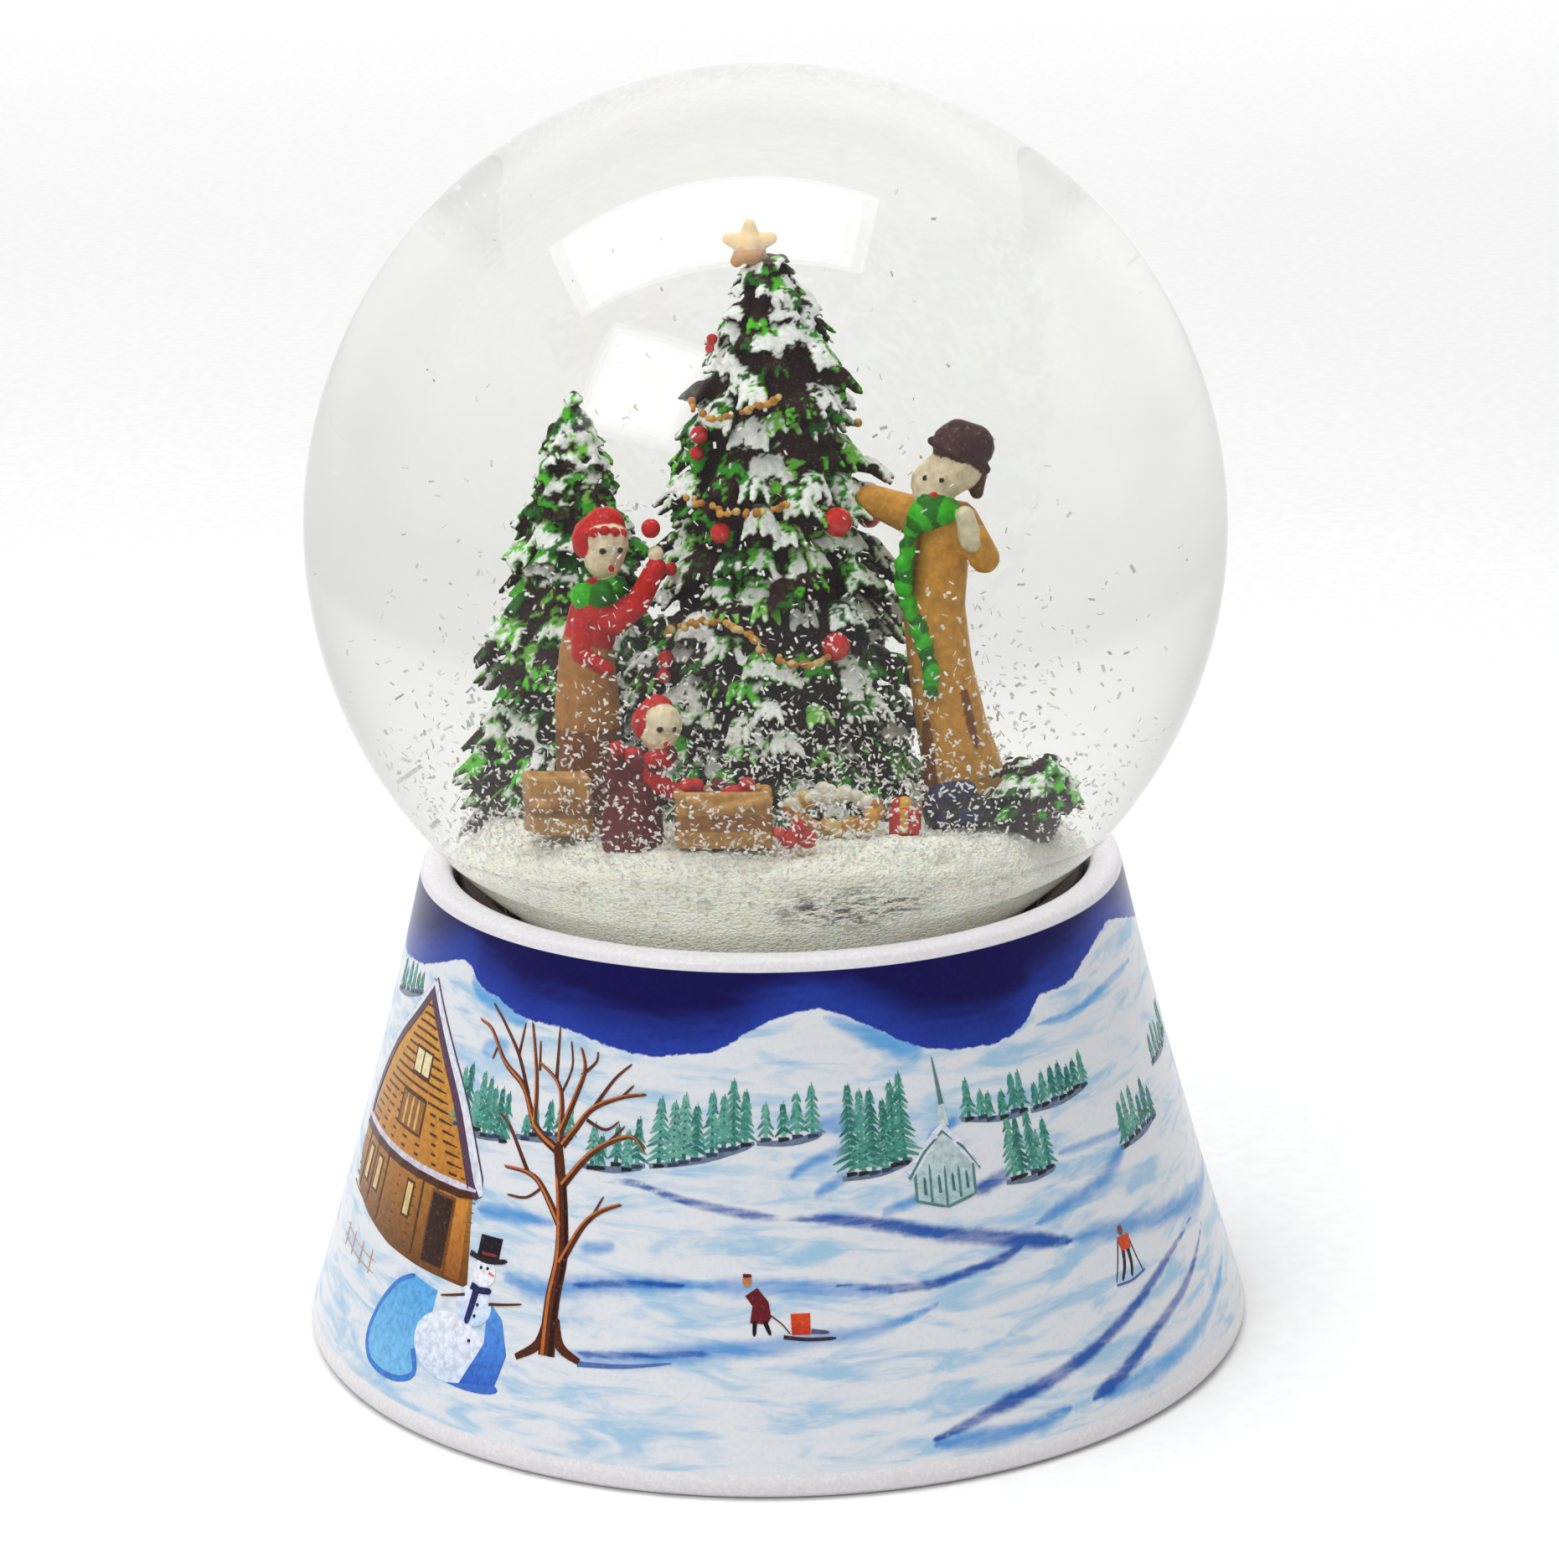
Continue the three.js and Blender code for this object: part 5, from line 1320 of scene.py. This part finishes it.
def add_floor_gifts():
    """The toy parcel, the dark sack and the heap of fir cuttings."""
    ribbon = srgb(232, 178, 60)
    parcel = block_parts((10.2, -14.9, 66.2), (13.0, -12.3, 68.7), 0.35, srgb(206, 40, 24))
    parcel += [((11.6, -15.0, 66.8), (11.6, -15.0, 68.5), 0.3, 0.3, ribbon)]
    parcel += [ball((11.5, -13.6, 69.0), 0.8, ribbon), ball((10.8, -13.9, 69.2), 0.6, RED)]
    piece = sculpt("toy_parcel_cast", parcel, painted("parcel_paint", (0.3, 0.45), 1.2, 0.04, 0.25), 0.14)
    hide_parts("toy_parcel")
    black = srgb(20, 14, 22)
    sack = [((14.5, -8.8, 67.6), (17.4, -8.4, 67.6), 1.7, 1.6, black)]
    sack += [((14.4, -8.9, 69.0), (16.4, -8.6, 69.4), 1.3, 1.1, NAVY)]
    sack += lumpy([(14.0, -10.0, 67.2), (16.0, -10.4, 67.6), (17.6, -9.8, 67.0)], 0.5, [black, NAVY], 8)
    piece = sculpt("gift_sack_cast", sack, painted("sack_paint", (0.3, 0.5), 1.6, 0.06, 0.3), 0.16)
    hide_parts("gift_sack")
    heap = [(4.9, 66), (4.9, 67.6), (3.6, 69.9), (1.8, 72.4)]
    conifer("fir_cuttings_cast", 21.8, -5.4, heap, 33, "fir_cuttings", 0.9)


# ---------- snow ----------
# Top of the snow: (radius, height).
SNOW_PROFILE = [
    (0, 66.9), (12, 66.6), (19, 66.0), (22.5, 65.0), (24.8, 63.0), (26.6, 59.8), (27.9, 55.6), (28.6, 51),
]


def snow_height(x, y):
    """Top of the settled snow: nearly flat under the figures, banked a little higher behind them."""
    r = math.hypot(x, y)
    back = 2.6 * max(0.0, min(1.0, (y + 4) / 20)) * math.exp(-(((r - 19) / 7) ** 2))
    return float(np.interp(r, *zip(*SNOW_PROFILE))) + back


def flaky_snow(name, colour_a, colour_b, depth):
    """Packed flakes: tiny bright chips with painted shadow in the grey gaps between them, and a painted
    dark reflection as a grey smear at the front right.
    """
    f = Finish(name, Roughness=0.6, Subsurface_Weight=0.4, Subsurface_Scale=2.5 * MM)
    chips = f.cells(2.4, (1, 1, 1.4))
    clump = f.noise(0.35, 4, 0.6)
    tone = f.mix(f.fade(clump, 0.35, 0.7), colour_a, colour_b)
    # painted shadow: grey specks in the gaps between the chips
    gap_shadow = f.fade(f.noise(2.4, 3, 0.7), 0.55, 0.63, 0, 0.4)
    speckled = f.mix(gap_shadow, tone, srgb(184, 180, 158))
    # painted dark reflection: a grey smear that fades in around a spot near the front right of the snow,
    # where the flakes lie thin
    inputs = {0: f.place((1, 1, 3)), 1: (8.0, -26.5, 178.0)}
    away = f.node("VectorMath", inputs, operation="DISTANCE").outputs["Value"]
    dark_reflection_smear = f.fade(f.noise(0.9, 5, 0.8, (0.5, 0.5, 2.2)), 0.46, 0.6)
    f.colour(f.mix(f.math("MULTIPLY", f.fade(away, 4, 11, 1.0, 0.0), dark_reflection_smear), speckled, srgb(84, 82, 74)))
    f.rough(clump, 0.5, 0.75)
    return f.bump(f.math("ADD", f.math("MULTIPLY", chips, -1.0), f.noise(1.2, 4, 0.7)), depth).material


def add_snow():
    """The body of snow: rings of points from the middle out and down its bank, closed below."""
    segments = 220
    angles = np.linspace(0, 2 * math.pi, segments, endpoint=False)
    radii = [*np.linspace(0.6, 23, 42), *np.linspace(23.4, 28.5, 26)]
    points = [(0, 0, snow_height(0, 0))]
    for r in radii:
        ring = [(r * math.cos(a), r * math.sin(a)) for a in angles]
        points += [(x, y, snow_height(x, y)) for x, y in ring]
    points = np.array(points)
    drifts = value_noise(points * (1, 1, 0.6), 7.0, 3) * 0.55 + value_noise(points, 1.6, 4) * 0.2
    share = np.clip(np.hypot(points[:, 0], points[:, 1]) / 6, 0.3, 1)
    points[:, 2] += np.minimum(drifts * share, 0.9)
    floor = [(28.5 * math.cos(a), 28.5 * math.sin(a), 50.4) for a in angles]
    points = [*map(tuple, points), *floor]
    rows = len(radii) + 1
    faces = [(0, 1 + j, 1 + (j + 1) % segments) for j in range(segments)]
    faces += [tuple(i + 1 for i in face)[::-1] for face in grid_faces(rows, segments)]
    faces += [tuple(1 + (rows - 1) * segments + j for j in range(segments))[::-1]]
    look = flaky_snow("packed_flakes", srgb(255, 255, 240), srgb(252, 250, 232), 0.26)
    piece = mesh_piece("settled_snow", points, faces, look)
    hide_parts("settled_flakes", "snow_mound")


def add_flakes():
    """Thin chips: most hang in the lower half of the liquid, the rest lie on the snow."""
    rng = np.random.default_rng(7)
    spots = []
    while len(spots) < 6500:
        x, y = rng.normal((-2, -8), (13.5, 13.5))
        z = 64 + rng.exponential(7.0)
        if x * x + y * y + (z - GLOBE_Z) ** 2 < 45.5**2 and z > snow_height(x, y) + 0.4:
            spots.append((x, y, z))
    for _ in range(4200):
        a, r = rng.uniform(0, 2 * math.pi), 28 * math.sqrt(rng.uniform(0.05, 1))
        x, y = r * math.cos(a), r * math.sin(a)
        spots.append((x, y, snow_height(x, y) + 0.1))
    points, faces = [], []
    corners = np.array([(-1, -1), (1, -1), (1, 1), (-1, 1)], float)
    for spot in spots:
        u = unit(rng.normal(size=3))
        v = unit(np.cross(u, rng.normal(size=3)))
        w = np.cross(u, v)
        long, wide = rng.uniform(0.18, 0.3), rng.uniform(0.08, 0.13)
        first = len(points)
        for level in (-0.025, 0.025):
            points += [np.array(spot) + u * a * long + v * b * wide + w * level for a, b in corners]
        quads = [(3, 2, 1, 0), (4, 5, 6, 7), (0, 1, 5, 4), (1, 2, 6, 5), (2, 3, 7, 6), (3, 0, 4, 7)]
        faces += [tuple(first + i for i in quad) for quad in quads]
    f = Finish("snow_flake", Transmission_Weight=0.15, IOR=1.36)
    shimmer = f.noise(1.5)
    f.colour(f.mix(f.fade(shimmer, 0.3, 0.7), srgb(248, 248, 244), srgb(255, 255, 253)))
    f.rough(shimmer, 0.45, 0.6)
    piece = mesh_piece("loose_flakes", points, faces, f.material, smooth=False)


# ---------- pieces that keep their CAD shape ----------
def finish_cad_nodes():
    """Looks for the frame's own pieces; the winding key and the screws are rounded over as well."""
    steel = metal("movement_steel", (0.55, 0.56, 0.58), 0.28)
    brass = metal("movement_brass", (0.72, 0.5, 0.2), 0.24, (1, 1, 6))
    zinc = metal("zinc_casting", (0.42, 0.43, 0.43), 0.5, (1, 1, 1), 2.4)
    blued = metal("blued_spring", (0.12, 0.15, 0.24), 0.3, (6, 6, 1))
    nylon = moulded("white_nylon", (0.75, 0.73, 0.66), 0.4)
    looks = {
        "base_plate": moulded("plate_plastic", srgb(30, 28, 27), 0.42, 0.06, 2.0),
        "neck_sealant": moulded("neck_sealant", srgb(84, 70, 54), 0.5),
        "rubber_stopper": moulded("stopper_rubber", (0.02, 0.02, 0.02), 0.75, 0.08),
        "movement_cover": clear("cover_plastic", (0.88, 0.93, 0.94), 1.49, 0.08),
        "mainspring": blued,
    }
    looks.update(dict.fromkeys(("great_wheel", "music_drum"), brass))
    looks.update(dict.fromkeys(("spring_housing", "bedplate", "gear_bracket", "governor_frame"), zinc))
    looks.update(dict.fromkeys(("drum_gear", "worm_wheel", "governor_worm"), nylon))
    soften("winding_key", brass, 0.13, "winder")
    for number in (1, 2, 3):
        soften(f"plate_screw_{number}", steel, 0.1)
    for node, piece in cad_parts.items():
        if piece.hide_render:
            continue
        look = looks.get(node, steel)
        piece.data.materials.clear()
        piece.data.materials.append(look)


add_camera()
add_studio()
add_floor()
add_glass()
add_collar()
add_base()
inks = ink()
for picture in (print_cabin, print_bare_tree, print_snowman, print_firs, print_chapel, print_walkers):
    picture(inks)
add_snow()
conifer("large_tree_cast", 0.5, 2.0, LARGE_TREE, 3, "large_tree", 1.0)
conifer("small_tree_cast", -15.0, 9.0, SMALL_TREE, 9, "small_tree", 0.9)
add_star()
add_man()
add_woman()
add_child()
add_boxes()
add_trimmings()
add_flakes()
finish_cad_nodes()
